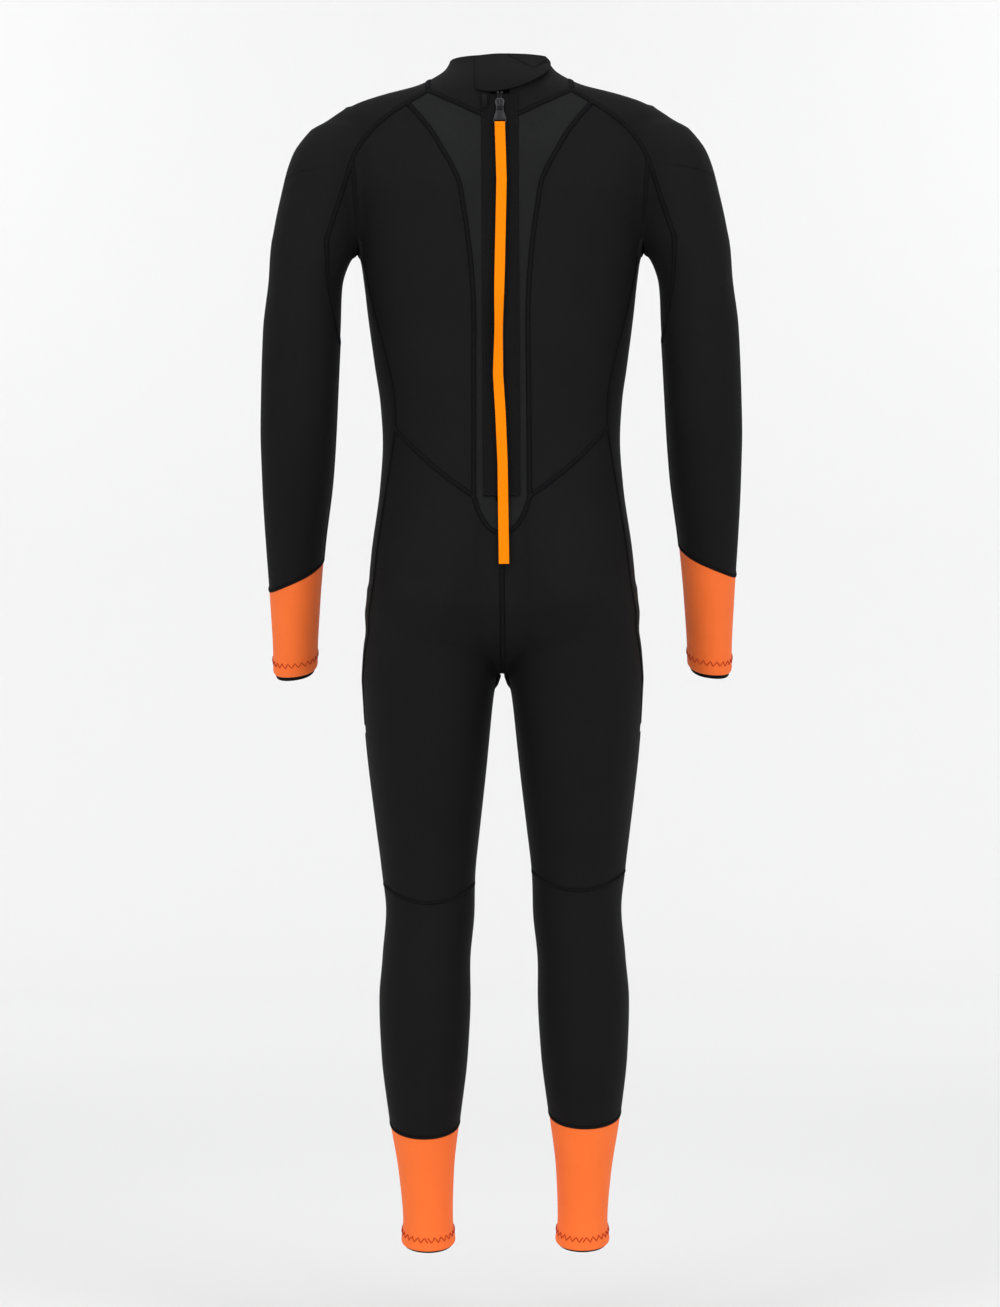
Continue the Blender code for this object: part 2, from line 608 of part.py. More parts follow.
def front_panel(finish):
    left = chain((lift(raglan_line(1, 60), 1), 9), (armhole(-CORNER_TURN, -SIDE_START_TURN, 30), 4),
                 (side_line(1, 0, FRONT_YOKE_END), 12))
    top = both(chain((lift(curve(COLLAR_FRONT, 40), 1), 9)))
    bottom = both(chain((front_hip(), 9)))
    right = left * np.array([-1, 1, 1])
    shell("front_panel", patch(trunk_polar, trunk_points, left, right, top, bottom), finish)


def leg_panels(finish):
    point, yoke = lift(curve(BACK_POINT, 20), -1), lift(curve(BACK_YOKE, 60), -1)
    knee = leg_band(knee_seam, INSEAM, OUTSEAM, 11)
    inner = chain((centre_line(-1, -0.596), 9), (inseam(float(knee_seam(INSEAM))), 18))
    outer = chain((side_line(-1, -0.462, -0.660), 8), (side_line(-1, -0.660, SIDE_TAIL_END), 7),
                  (outseam(float(knee_seam(OUTSEAM))), 13))
    pair("rear_leg", leg_patch(leg_polar, inner, outer, chain((point, 5), (yoke, 7)), knee), finish)
    outer = chain((side_line(1, FRONT_YOKE_END, -0.660), 6), (side_line(1, -0.660, SIDE_TAIL_END), 7),
                  (outseam(KNEE_PAD_TOP), 9))
    inner = chain((centre_line(1, -0.700), 4), (inseam(KNEE_PAD_TOP), 17))
    pad = leg_edge((OUTSEAM, INSEAM + 2 * math.pi), KNEE_PAD_TOP, KNEE_PAD_TOP, 11)
    pair("front_leg", leg_patch(leg_polar_front, outer, inner, chain((front_hip(), 11)), pad), finish)


def lower_leg(finish, pad_finish):
    behind, ahead = (INSEAM, OUTSEAM), (OUTSEAM, INSEAM + 2 * math.pi)
    pair("calf", tube_grid(leg_points, knee_seam, ankle_seam, 11, 8, behind), finish)
    pad = tube_grid(leg_points, lambda a: KNEE_PAD_TOP + 0 * a, lambda a: KNEE_PAD_END + 0 * a, 6, 7, ahead)
    pair("knee_pad", pad, pad_finish)
    pair("shin", tube_grid(leg_points, lambda a: KNEE_PAD_END + 0 * a, ankle_seam, 6, 7, ahead), finish)


def ankles(finish, lining):
    pair("ankle_cuff", tube_grid(leg_points, ankle_seam, ankle_hem, 7, 17), finish, sides="r", ring=True)
    inner = tube_grid(leg_points, lambda a: ankle_hem(a) + 0.030, lambda a: ankle_hem(a) - 0.001, 4, 17)
    pair("ankle_lining", offset_ring(inner, -0.0037), lining, sides="", ring=True, thick=0.0012)


def wrists(finish, lining):
    turns = (math.pi, -math.pi)
    cuff = tube_grid(arm_points, wrist_seam, wrist_hem, 6, 17, turns)
    pair("wrist_cuff", cuff, finish, sides="r", ring=True)
    inner = tube_grid(arm_points, lambda w: wrist_hem(w) + 0.030,
                      lambda w: wrist_hem(w) - CUFF_LINING_DROP, 4, 17, turns)
    pair("wrist_lining", offset_ring(inner, -0.0037), lining, sides="", ring=True, thick=0.0012)


def offset_ring(grid, distance):
    """offset_grid for a grid whose first and last columns are the same."""
    wide = np.hstack([grid[:, -2:-1], grid, grid[:, 1:2]])
    return offset_grid(wide, distance)[:, 1:-1]


def sleeves(finish, gusset_finish):
    pair("sleeve", sleeve_grid((11, 4, 5, 10), 13), finish)
    pair("underarm_gusset", gusset_grid(5, 5), gusset_finish)


def collar(finish):
    back, front = lift(curve(COLLAR_BACK, 60), -1), lift(curve(COLLAR_FRONT, 60), 1)
    ridge = sleeve_grid((2, 1, 1, 1), 41)[0]
    seam = chain((back, 6), (ridge, 7), (front, 7))
    height = np.linspace(0, COLLAR_BACK[0][1], 12)
    edge = chain((lift(np.stack([0 * height + COLLAR_BACK[0][0], height], -1), -1), 6))
    rim_angle = np.linspace(math.asin(COLLAR_BACK[0][0] / 0.06), math.pi, 60)
    rim = both(chain((trunk_points(rim_angle, 0 * rim_angle), 18)))
    other = edge * np.array([-1, 1, 1])
    shell("collar", patch(trunk_polar, trunk_points, edge, other, rim, both(seam)), finish, gap=0.0021)


def flap_patch(left, right, top, bottom, rows, columns, proud):
    """A patch on the collar's back, from (x, height) edges, standing proud of the collar."""
    edges = [lift(curve(e, 20), -1) for e in (left, right, top, bottom)]
    centred = [np.stack([np.arctan2(e[:, 0], -e[:, 1]), e[:, 2]], -1) for e in edges]
    grid = coons(*[spread(e, n) for e, n in zip(centred, (rows, rows, columns, columns))])
    return offset_grid(trunk_points(grid[..., 0], grid[..., 1]), proud)


def closure(finish, hook, loop):
    """The collar flap that crosses the zip, its hook pad, and the loop pad under it."""
    root = [(FLAP_ROOT_X, -0.002), (FLAP_ROOT_X, -0.020), (FLAP_ROOT_X, -0.046)]
    tip = [(0.0520, -0.002), (0.0585, -0.010), (0.0610, -0.022)]
    top = [root[0], (0.010, -0.002), tip[0]]
    lower = [root[-1], (-0.010, -0.0495), (0.0050, -0.0475), (0.0345, -0.0395), (0.0493, -0.0325), tip[-1]]
    shell("collar_flap", flap_patch(root, tip, top, lower, 5, 11, 0.0065), finish, thick=0.0022, sides="")
    pad_low = [(0.016, -0.032), (0.036, -0.033), (0.048, -0.026)]
    pad_top = [(0.016, -0.008), (0.034, -0.008), (0.048, -0.008)]
    pad_left = [pad_top[0], (0.016, -0.020), pad_low[0]]
    pad_right = [pad_top[-1], (0.048, -0.017), pad_low[-1]]
    edges = (pad_left, pad_right, pad_top, pad_low)
    shell("hook_pad", flap_patch(*edges, 4, 6, 0.0035), hook, thick=0.0009, sides="")
    shell("loop_pad", flap_patch(*edges, 4, 6, 0.0018), loop, thick=0.0009, sides="")


# ---- zip, in a frame that leans with the back: local -Y outwards, local Z along the chain ----

def prism(name, outline, axis, low, high, finish, parent):
    """A closed outline in the plane across one axis, extruded along it."""
    plane = {"X": lambda a, b, t: (t, a, b), "Z": lambda a, b, t: (a, b, t)}[axis]
    shape = bmesh.new()
    base = shape.faces.new([shape.verts.new(plane(a, b, low)) for a, b in outline])
    grown = bmesh.ops.extrude_face_region(shape, geom=[base])["geom"]
    shift = plane(0, 0, high - low)
    bmesh.ops.translate(shape, vec=shift, verts=[v for v in grown if isinstance(v, bmesh.types.BMVert)])
    bmesh.ops.recalc_face_normals(shape, faces=shape.faces)
    mesh = bpy.data.meshes.new(name)
    shape.to_mesh(mesh)
    shape.free()
    return put(name, mesh, finish, parent)


def block(name, x, y, z, finish, parent):
    outline = [(x[0], y[0]), (x[1], y[0]), (x[1], y[1]), (x[0], y[1])]
    return prism(name, outline, "Z", z[0], z[1], finish, parent)


def join(body_object, tool, operation):
    """Boolean of a second solid, kept as a hidden guide."""
    step = body_object.modifiers.new(operation.lower(), "BOOLEAN")
    step.operation = operation
    step.solver = "EXACT"
    step.object = tool
    tool.hide_render = True
    tool.display_type = "WIRE"


def empty(name, parent=None, at=(0, 0, 0), lean=0.0):
    made = bpy.data.objects.new(name, None)
    bpy.context.scene.collection.objects.link(made)
    made.parent = parent
    made.location = at
    made.rotation_euler = (lean, 0, 0)
    return made


def zip_tracks(frame, chain, tape):
    """Chain and tape of each side, the stops, and the batten behind them. Local Z is 0 at the top."""
    length = (ZIP_TOP - ZIP_END) * math.hypot(1, ZIP_SLOPE)
    deep = (CHAIN_OUT, CHAIN_IN)
    for side, name in ((1, "right"), (-1, "left")):
        near, far = sorted((side * CHAIN_GAP, side * CHAIN_HALF))
        block("zip_chain_" + name, (near, far), deep, (-length, 0), chain, frame)
        block("top_stop_" + name, (near, far), deep, (0.0004, 0.0034), chain, frame)
        near, far = sorted((side * (CHAIN_HALF + 0.0004), side * TAPE_HALF))
        block("zip_tape_" + name, (near, far), (-0.0014, -0.0006), (-length, 0), tape, frame)
    block("bottom_stop", (-CHAIN_HALF, CHAIN_HALF), deep, (-length - 0.0044, -length - 0.0004), chain, frame)
    block("zip_batten", (-0.030, 0.030), (0.0052, 0.0072), (-length - 0.024, 0.006), tape, frame)


def slider(frame, finish):
    """Slider: outer and inner plates on a thin post that runs between the chains, and a bridge."""
    at = empty("slider_place", frame, (0, 0, SLIDER_REST))
    half = [(0.0058, -0.0040), (0.0058, -0.0018), (0.0046, -0.0018), (0.0046, -0.0027), (0.0005, -0.0027),
            (0.0005, 0.0008), (0.0055, 0.0008), (0.0055, 0.0020)]
    outline = half + [(-x, y) for x, y in half[::-1]]
    made = prism("zip_slider", outline, "Z", -SLIDER_HALF, SLIDER_HALF, finish, at)
    bridge = [(-0.0036, -0.0052), (-0.0088, -0.0052), (-0.0088, 0.0052), (-0.0036, 0.0052),
              (-0.0036, 0.0040), (-0.0076, 0.0040), (-0.0076, -0.0040), (-0.0036, -0.0040)]
    join(made, prism("bridge_shape", bridge, "X", -0.0012, 0.0012, finish, at), "UNION")
    return at


def pull_tab(at, finish):
    """Tab hung from the bridge: a slot for the bridge at its top and one for the strap below."""
    pivot = empty("tab_pivot", at, (0, TAB_PIVOT[0], TAB_PIVOT[1]))
    half = [(0.0034, 0.0007), (0.0034, -0.0055), (0.0050, -0.0080), (0.0076, -0.0150), (0.0076, -TAB_LENGTH)]
    outline = [(x, z) for x, z in half] + [(-x, z) for x, z in half[::-1]]
    shape = bmesh.new()
    face = shape.faces.new([shape.verts.new((x, -TAB_THICK / 2, z)) for x, z in outline])
    grown = bmesh.ops.extrude_face_region(shape, geom=[face])["geom"]
    top = [v for v in grown if isinstance(v, bmesh.types.BMVert)]
    bmesh.ops.translate(shape, vec=(0, TAB_THICK, 0), verts=top)
    bmesh.ops.recalc_face_normals(shape, faces=shape.faces)
    mesh = bpy.data.meshes.new("pull_tab")
    shape.to_mesh(mesh)
    shape.free()
    made = put("pull_tab", mesh, finish, pivot)
    bridge_slot = block("bridge_slot", (-0.0018, 0.0018), (-0.002, 0.002), (-0.0047, -0.0007), finish, pivot)
    strap_slot = block("strap_slot", (-0.0067, 0.0067), (-0.002, 0.002), (-0.0210, -0.0183), finish, pivot)
    join(made, bridge_slot, "DIFFERENCE")
    join(made, strap_slot, "DIFFERENCE")
    return pivot


def pull_strap(pivot, finish):
    """Strap looped round the tab's end bar, its tail behind it, and hung down the back."""
    hang = empty("strap_pivot", pivot, (0, 0, STRAP_PIVOT))
    around = np.linspace(0, math.pi, 6)
    loop = np.stack([0.0020 * np.cos(around), 0.0020 * np.sin(around)], -1)
    tail = np.array([(0.0010, -0.0150), (0.0010, -0.0085), (0.0016, -0.0030)])
    low = np.linspace(0.030, STRAP_LENGTH, 20)
    straight = np.stack([0 * low - 0.0007, -low], -1)
    main = np.vstack([[(-0.0013, -0.0030), (-0.0007, -0.0085)], straight])
    path = np.vstack([tail, loop, main])
    drift = np.interp(-path[:, 1], *np.array(STRAP_DRIFT).T)
    edges = np.stack([drift - STRAP_WIDTH / 2, drift + STRAP_WIDTH / 2], -1)
    grid = np.stack([edges, np.repeat(path[:, :1], 2, 1), np.repeat(path[:, 1:], 2, 1)], -1)
    made = shell("pull_strap", grid, finish, thick=STRAP_THICK, sides="", offset=0)
    made.parent = hang


def keeper(frame, finish):
    """Small stitched loop beside the zip that holds the strap."""
    t = np.linspace(0, 1, 9)
    z = KEEPER_TOP - KEEPER_LENGTH * t
    y = -0.0022 - 0.0030 * np.sin(math.pi * t)
    x = np.array([KEEPER_X - KEEPER_WIDTH / 2, KEEPER_X + KEEPER_WIDTH / 2])
    grid = np.stack([np.tile(x, (9, 1)), np.tile(y[:, None], (1, 2)), np.tile(z[:, None], (1, 2))], -1)
    shell("strap_keeper", grid, finish, thick=0.0009, sides="").parent = frame


def main():
    for old in list(bpy.data.objects):
        bpy.data.objects.remove(old, do_unlink=True)
    black = material("black_neoprene", BLACK, 0.75)
    centre = material("centre_neoprene", (0.03, 0.03, 0.031), 0.75)
    pad = material("knee_rubber", (0.015, 0.015, 0.016), 0.6)
    orange = material("orange_neoprene", ORANGE, 0.7)
    lining = material("black_jersey", (0.012, 0.012, 0.012), 0.85)
    tape = material("zip_tape", ZIP_TAPE, 0.8)
    chain = material("zip_coil", (0.02, 0.02, 0.02), 0.45)
    metal = material("slider_metal", METAL, 0.35, 1.0)
    webbing = material("orange_webbing", STRAP_ORANGE, 0.7)

    centre_back(centre)
    back_panels(black)
    side_panels(black)
    front_panel(black)
    leg_panels(black)
    lower_leg(black, pad)
    ankles(orange, lining)
    sleeves(black, black)
    wrists(orange, lining)
    collar(black)
    closure(black, pad, lining)
    frame = empty("zip_frame", None, (0, ZIP_Y, ZIP_TOP), -math.atan(ZIP_SLOPE))
    zip_tracks(frame, chain, tape)
    at = slider(frame, metal)
    pivot = pull_tab(at, metal)
    pull_strap(pivot, webbing)
    keeper(frame, black)


main()
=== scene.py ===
"""Full wetsuit seen from behind: neoprene panels with flatlock seams, back zip, strap and cuffs.

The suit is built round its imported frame. Metres, +Z up; the back faces -Y and the wearer's right
is +X; the origin is the centre of the neck opening. Every panel is a patch of one body surface.
"""
import functools
import json
import math

import bpy
import numpy as np
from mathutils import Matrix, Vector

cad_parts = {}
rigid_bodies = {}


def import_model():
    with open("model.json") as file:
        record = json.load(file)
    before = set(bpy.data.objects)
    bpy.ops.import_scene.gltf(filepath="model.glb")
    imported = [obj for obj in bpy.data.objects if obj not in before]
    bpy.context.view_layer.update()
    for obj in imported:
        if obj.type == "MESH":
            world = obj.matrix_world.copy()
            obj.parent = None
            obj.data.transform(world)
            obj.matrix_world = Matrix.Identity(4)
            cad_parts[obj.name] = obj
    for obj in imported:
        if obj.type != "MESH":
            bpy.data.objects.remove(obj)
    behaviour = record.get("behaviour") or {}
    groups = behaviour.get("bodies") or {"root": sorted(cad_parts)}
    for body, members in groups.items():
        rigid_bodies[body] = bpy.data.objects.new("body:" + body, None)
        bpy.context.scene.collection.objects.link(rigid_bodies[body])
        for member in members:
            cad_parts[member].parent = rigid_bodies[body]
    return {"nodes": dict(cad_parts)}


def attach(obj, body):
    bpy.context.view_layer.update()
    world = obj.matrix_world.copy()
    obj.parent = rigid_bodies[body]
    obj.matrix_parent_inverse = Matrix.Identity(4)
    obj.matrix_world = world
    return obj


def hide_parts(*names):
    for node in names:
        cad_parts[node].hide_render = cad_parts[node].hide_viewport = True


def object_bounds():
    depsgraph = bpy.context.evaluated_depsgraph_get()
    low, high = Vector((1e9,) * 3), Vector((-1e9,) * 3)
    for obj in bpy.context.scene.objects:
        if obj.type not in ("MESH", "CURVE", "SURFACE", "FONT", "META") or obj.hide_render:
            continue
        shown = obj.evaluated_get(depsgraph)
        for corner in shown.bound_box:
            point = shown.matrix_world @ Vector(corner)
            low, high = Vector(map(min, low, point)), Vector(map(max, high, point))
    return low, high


bl_info = {
    "name": "Wetsuit Workshop",
    "version": (1, 0, 0),
    "blender": (4, 5, 0),
    "location": "View3D > Sidebar > Wetsuit",
    "description": "Makes a full wetsuit with a back zip around its frame",
    "category": "Add Mesh",
}

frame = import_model()
CAD_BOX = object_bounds()
MIRROR = np.array([-1.0, 1.0, 1.0])

# Driving dimensions, in metres.
SHEET = 0.003            # neoprene
SLIT_HALF = 0.0065       # the back panel's slit for the zip
TAPE_HALF = 0.0205       # outer edge of the zip tape, from the centre line
ZIP_TOP = -0.052
ZIP_END = -0.549
ZIP_Y = -0.0777          # the zip's straight line: its depth at ZIP_TOP
ZIP_SLOPE = 0.055        # and its lean
CUFF_LINING_DROP = 0.005
ANKLE_LINING_DROP = 0.0016
LINING_DEPTH = 0.028     # how far a cuff's lining reaches up inside it
LINING_INSET = 0.0037    # from the cuff's outside to the lining
SLIDER_REST = -0.0128
TAB_PIVOT = (-0.0058, -0.0026)
STRAP_PIVOT = -0.02175
STRAP_LENGTH = 0.544
STRAP_WIDTH = 0.0126
STRAP_DRIFT = [(0, 0), (0.01, 0.0002), (0.07, 0.0017), (0.22, -0.0021), (0.31, -0.0038), (0.36, -0.001),
               (0.42, 0.0012), (0.55, 0.0024)]
FLAP_ROOT_X = -0.030
KEEPER_X = -0.0188
KEEPER_WIDTH = 0.007
KEEPER_TOP = 0.0005
KEEPER_LENGTH = 0.018
KEEPER_BOW = 0.0030
COIL_PITCH = 0.00145
COIL_STEPS = 9           # points on each turn of the coil

# Seams and stitches, in metres.
ROLL_ROWS = ((0.0, 1.0), (0.0009, 0.35), (0.0022, 0.08))   # past the cut edge, and share of the sink
EDGE_GAP = 0.00025       # the cut edge stops this far from the seam line
THREAD_LIFT = 0.0004
THREAD_SIDES = 4
THREAD = 0.00042         # thread's radius
HEM_THREAD = 0.00052
HEM_WIDTH = 0.0062
HEM_PITCH = 0.0084
DASH_THICK = 0.00038
DASH_PROUD = 0.0003
DASH_PITCH = 0.0034
DASH_LENGTH = 0.0024
TAPE_STITCH_X = 0.0203   # the row by a tape's sewn edge
KNEE_RISE = 0.0075       # seams sit higher on the right limb and lower on the left one
ANKLE_RISE = 0.006
WRIST_RISE = 0.008

# Where rays start and how far they look for the surface.
MIDDLE_Y = -0.008
TRUNK_REACH = 0.36
LEG_REACH = 0.145
ARM_REACH = 0.15
FLAT_REACH = 0.16
# Widths over which the limbs blend.
LEGS_BLEND = 0.03
HIP_BLEND = 0.035
SHOULDER_BLEND = 0.02

# Colours that are not among the settings.
HEM_ORANGE = (0.55, 0.04, 0.012)
TAPE_BLACK = (0.0062, 0.0062, 0.0068)
COIL_BLACK = (0.008, 0.008, 0.009)
PAD_BLACK = (0.006, 0.006, 0.0065)
ZINC_GREY = (0.045, 0.045, 0.048)
PAPER_WHITE = (0.89, 0.89, 0.893)

# The stage, in metres.
FLOOR_NEAR = -9.0
BEND_START = 5.4
BEND_RADIUS = 1.2
WALL_TOP = 7.0
HALF_WALL = 12.0
SUIT_MIDDLE = (0, 0, -0.7)
WALL_MIDDLE = (0, 6.4, -0.6)
CAMERA_X = -0.0031
CAMERA_Z = -0.7416
SENSOR_WIDTH = 36.0      # millimetres
SKY_STRENGTH = 0.57


def profile(*keys, soft=0.010):
    """Smooth curve through (position, value) keys: a monotone cubic, then a short running mean."""
    at, value = np.array(sorted(keys)).T
    step = np.diff(at)
    rise = np.diff(value) / step
    inner = 2 * rise[1:] * rise[:-1] / (rise[1:] + rise[:-1] + 1e-12)
    slope = np.r_[rise[0], np.where(rise[1:] * rise[:-1] > 0, inner, 0), rise[-1]]
    grid = np.arange(at[0] - 0.05, at[-1] + 0.05, 0.001)
    q = np.clip(grid, at[0], at[-1])
    i = np.clip(np.searchsorted(at, q) - 1, 0, len(step) - 1)
    t = (q - at[i]) / step[i]
    table = (value[i] * (1 + 2 * t) * (1 - t) ** 2 + value[i + 1] * t * t * (3 - 2 * t)
             + step[i] * slope[i] * t * (1 - t) ** 2 - step[i] * slope[i + 1] * t * t * (1 - t))
    half = int(soft * 1000)
    kernel = np.hanning(2 * half + 3)
    table = np.convolve(np.pad(table, half + 1, mode="edge"), kernel / kernel.sum(), "valid")
    return lambda h: np.interp(h, grid, table)


def zip_line(height):
    """Depth of the straight line down the middle of the back."""
    return ZIP_Y - ZIP_SLOPE * (ZIP_TOP - height)


# The body's sections, as (height, value) keys. Trunk: half width, depth in front and behind.
TRUNK_WIDE = profile(
    (0.05, 0.0600), (0, 0.0620), (-0.012, 0.068), (-0.024, 0.085), (-0.035, 0.110), (-0.044, 0.148),
    (-0.057, 0.186), (-0.076, 0.207), (-0.111, 0.208), (-0.151, 0.199), (-0.201, 0.184), (-0.251, 0.174),
    (-0.321, 0.166), (-0.381, 0.158), (-0.431, 0.151), (-0.476, 0.1485), (-0.531, 0.152), (-0.621, 0.164),
    (-0.655, 0.1665), (-0.685, 0.1650), (-0.71, 0.148), (-0.73, 0.120), (-0.75, 0.060), soft=0.005)
TRUNK_FRONT = profile(
    (0.05, 0.058), (0, 0.060), (-0.021, 0.066), (-0.051, 0.080), (-0.091, 0.098), (-0.151, 0.115),
    (-0.231, 0.124), (-0.321, 0.116), (-0.411, 0.104), (-0.491, 0.100), (-0.571, 0.103),
    (-0.651, 0.098), (-0.715, 0.070), (-0.75, 0.02))
TRUNK_BACK = profile(
    (0.05, 0.058), (0, 0.060), (-0.012, 0.066), (-0.036, -zip_line(-0.036)), (-0.052, -zip_line(-0.052)),
    (-0.655, -zip_line(-0.655)), (-0.68, -zip_line(-0.68)), (-0.72, 0.090), (-0.75, 0.02), soft=0.004)
# Shoulder blades and seat, beside the straight centre line, and the chest.
BACK_SWELL = profile(
    (0.05, 0), (-0.05, 0), (-0.11, 0.008), (-0.18, 0.016), (-0.26, 0.012), (-0.35, 0.004), (-0.46, 0),
    (-0.55, 0.006), (-0.63, 0.021), (-0.68, 0.027), (-0.73, 0.020), (-0.75, 0), soft=0.02)
CHEST_SWELL = profile(
    (0.05, 0), (-0.11, 0), (-0.19, 0.008), (-0.25, 0.006), (-0.31, 0), (-0.75, 0), soft=0.02)
TRUNK_END = -0.75
# Arm: axis in X and Y, half width and half depth.
ARM_X = profile(
    (-0.06, 0.190), (-0.091, 0.203), (-0.116, 0.212), (-0.154, 0.218), (-0.199, 0.2265), (-0.225, 0.2315),
    (-0.243, 0.2365), (-0.281, 0.2440), (-0.336, 0.2485), (-0.451, 0.2535), (-0.521, 0.256),
    (-0.607, 0.2605), (-0.745, 0.264), (-0.80, 0.265), soft=0.006)
ARM_Y = profile(
    (-0.06, 0), (-0.191, -0.004), (-0.341, -0.012), (-0.451, -0.008), (-0.521, 0.010), (-0.607, 0.040),
    (-0.745, 0.094), (-0.80, 0.112), soft=0.03)
ARM_WIDE = profile(
    (-0.06, 0.018), (-0.075, 0.028), (-0.091, 0.038), (-0.116, 0.047), (-0.154, 0.053), (-0.199, 0.0545),
    (-0.225, 0.0545), (-0.243, 0.0515), (-0.281, 0.0465), (-0.336, 0.0485), (-0.451, 0.0475),
    (-0.521, 0.0445), (-0.607, 0.037), (-0.681, 0.0315), (-0.745, 0.0285), (-0.80, 0.0285), soft=0.006)
ARM_DEEP = profile(
    (-0.06, 0.030), (-0.091, 0.050), (-0.116, 0.058), (-0.154, 0.062), (-0.199, 0.063), (-0.261, 0.061),
    (-0.336, 0.058), (-0.391, 0.055), (-0.451, 0.053), (-0.521, 0.052), (-0.607, 0.0465), (-0.681, 0.040),
    (-0.745, 0.035), (-0.80, 0.034))
ARM_TOP = -0.085
ARM_END = -0.80
# Leg: axis in X and Y, half width and half depth.
LEG_X = profile(
    (-0.40, 0.082), (-0.611, 0.082), (-0.691, 0.086), (-0.75, 0.0915), (-0.791, 0.0935), (-0.875, 0.0945),
    (-1.011, 0.0940), (-1.061, 0.092), (-1.121, 0.097), (-1.171, 0.099), (-1.321, 0.100), (-1.461, 0.0965),
    (-1.52, 0.096))
LEG_Y = profile(
    (-0.40, -0.010), (-0.691, -0.012), (-0.791, -0.008), (-0.891, 0.004), (-0.991, 0.010), (-1.061, 0.010),
    (-1.121, -0.002), (-1.191, -0.010), (-1.291, -0.006), (-1.391, 0), (-1.52, 0.002), soft=0.03)
LEG_WIDE = profile(
    (-0.40, 0.058), (-0.611, 0.058), (-0.671, 0.0690), (-0.705, 0.0815), (-0.735, 0.0835), (-0.77, 0.0835),
    (-0.791, 0.0815), (-0.875, 0.0740), (-0.963, 0.0640), (-1.011, 0.0585), (-1.061, 0.0550),
    (-1.121, 0.0545), (-1.171, 0.0565), (-1.241, 0.0535), (-1.321, 0.0440), (-1.391, 0.0345),
    (-1.450, 0.0312), (-1.470, 0.0335), (-1.49, 0.0365), (-1.52, 0.037), soft=0.008)
LEG_DEEP = profile(
    (-0.40, 0.070), (-0.611, 0.070), (-0.671, 0.092), (-0.735, 0.096), (-0.791, 0.0940), (-0.875, 0.0870),
    (-0.963, 0.0750), (-1.011, 0.0670), (-1.061, 0.0620), (-1.121, 0.0620), (-1.171, 0.0640),
    (-1.241, 0.0600), (-1.321, 0.0490), (-1.391, 0.0400), (-1.450, 0.0360), (-1.470, 0.038), (-1.49, 0.041),
    (-1.52, 0.042), soft=0.008)
LEG_TOP = -0.66

# Seam lines on the right half, as (x, height) seen from behind.
PRINCESS = [(0.1141, -0.0602), (0.0835, -0.0986), (0.0712, -0.1195), (0.0602, -0.139), (0.0516, -0.158),
            (0.0461, -0.187), (0.0418, -0.215), (0.0381, -0.246), (0.0340, -0.300), (0.0336, -0.400),
            (0.0343, -0.549)]
BACK_YOKE = [(0.0343, -0.549), (0.0618, -0.529), (0.0920, -0.504), (0.1324, -0.462)]
BACK_POINT = [(0.0, -0.596), (0.0123, -0.590), (0.0257, -0.573), (0.0343, -0.549)]
RAGLAN = [(0.0888, -0.0456), (0.1141, -0.0602), (0.1511, -0.086), (0.1764, -0.1157)]
SIDE_SEAM = [(0.1651, -0.283), (0.1559, -0.324), (0.1410, -0.381), (0.1330, -0.425), (0.1324, -0.462),
             (0.1348, -0.480), (0.1472, -0.558), (0.1546, -0.609), (0.1605, -0.660)]
SIDE_TAIL_START = -0.660
SIDE_TAIL_END = -0.83
SIDE_TAIL_HALF = math.radians(7)
SIDE_TAIL_TIP = 0.0095               # the tail's point, below SIDE_TAIL_END
YOKE_SIDE = -0.462                   # where the back yoke meets the side seam
BACK_FORK = -0.596                   # top of the centre seam behind
FRONT_FORK = -0.700                  # top of the centre seam in front
COLLAR_BACK = [(0.0110, -0.0800), (0.0215, -0.0765), (0.0550, -0.0611), (0.0888, -0.0456)]
COLLAR_FRONT = [(0.0888, -0.0456), (0.0750, -0.059), (0.0450, -0.079), (0.0, -0.090)]
FRONT_YOKE = [(0.0, -0.700), (0.050, -0.680), (0.100, -0.630)]
FRONT_YOKE_END = -0.540
GUSSET_TURN = math.radians(74)       # half the underarm gusset's wrap, about the arm
CORNER_TURN = math.radians(60)       # half its wrap at the armhole
GUSSET_TOP = -0.226
GUSSET_TIP = -0.353
SIDE_START_TURN = math.radians(36)   # where the side seams leave the armhole
INSEAM = math.radians(-98)
OUTSEAM = math.radians(96)
OUTSEAM_TOP_TURN = math.pi / 2       # where the outer seam begins, at the side panel's tail
AHEAD = (OUTSEAM, INSEAM + 2 * math.pi)
BEHIND = (INSEAM, OUTSEAM)
ROUND_THE_ARM = (math.pi, -math.pi)
KNEE_PAD_TOP = -1.012
KNEE_PAD_END = -1.168


def bump(x, low, high):
    """0 below low, 1 above high, and the smooth step 3t^2 - 2t^3 of |x| between them."""
    t = np.clip((np.abs(x) - low) / (high - low), 0, 1)
    return t * t * (3 - 2 * t)


def oval(x, y, wide, deep, power=2.0):
    """How far (x, y) lies outside the oval |x/wide|^p + |y/deep|^p = 1, along its ray."""
    reach = np.hypot(x, y) + 1e-9
    size = (np.abs(x / wide) ** power + np.abs(y / deep) ** power) ** (1 / power) + 1e-9
    return reach * (1 - 1 / size)


def trunk(x, y, z):
    """Distance outside the trunk: an oval of power 2.3 at each height, with its own depth front and back."""
    side = np.abs(x)
    back = TRUNK_BACK(z) + BACK_SWELL(z) * bump(side, 0.0215, 0.085)
    front = TRUNK_FRONT(z) + CHEST_SWELL(z) * bump(side, 0.01, 0.07)
    below = np.maximum(0, TRUNK_END - z)
    return oval(side, y, TRUNK_WIDE(z), np.where(y > 0, front, back), 2.3) + 2 * below


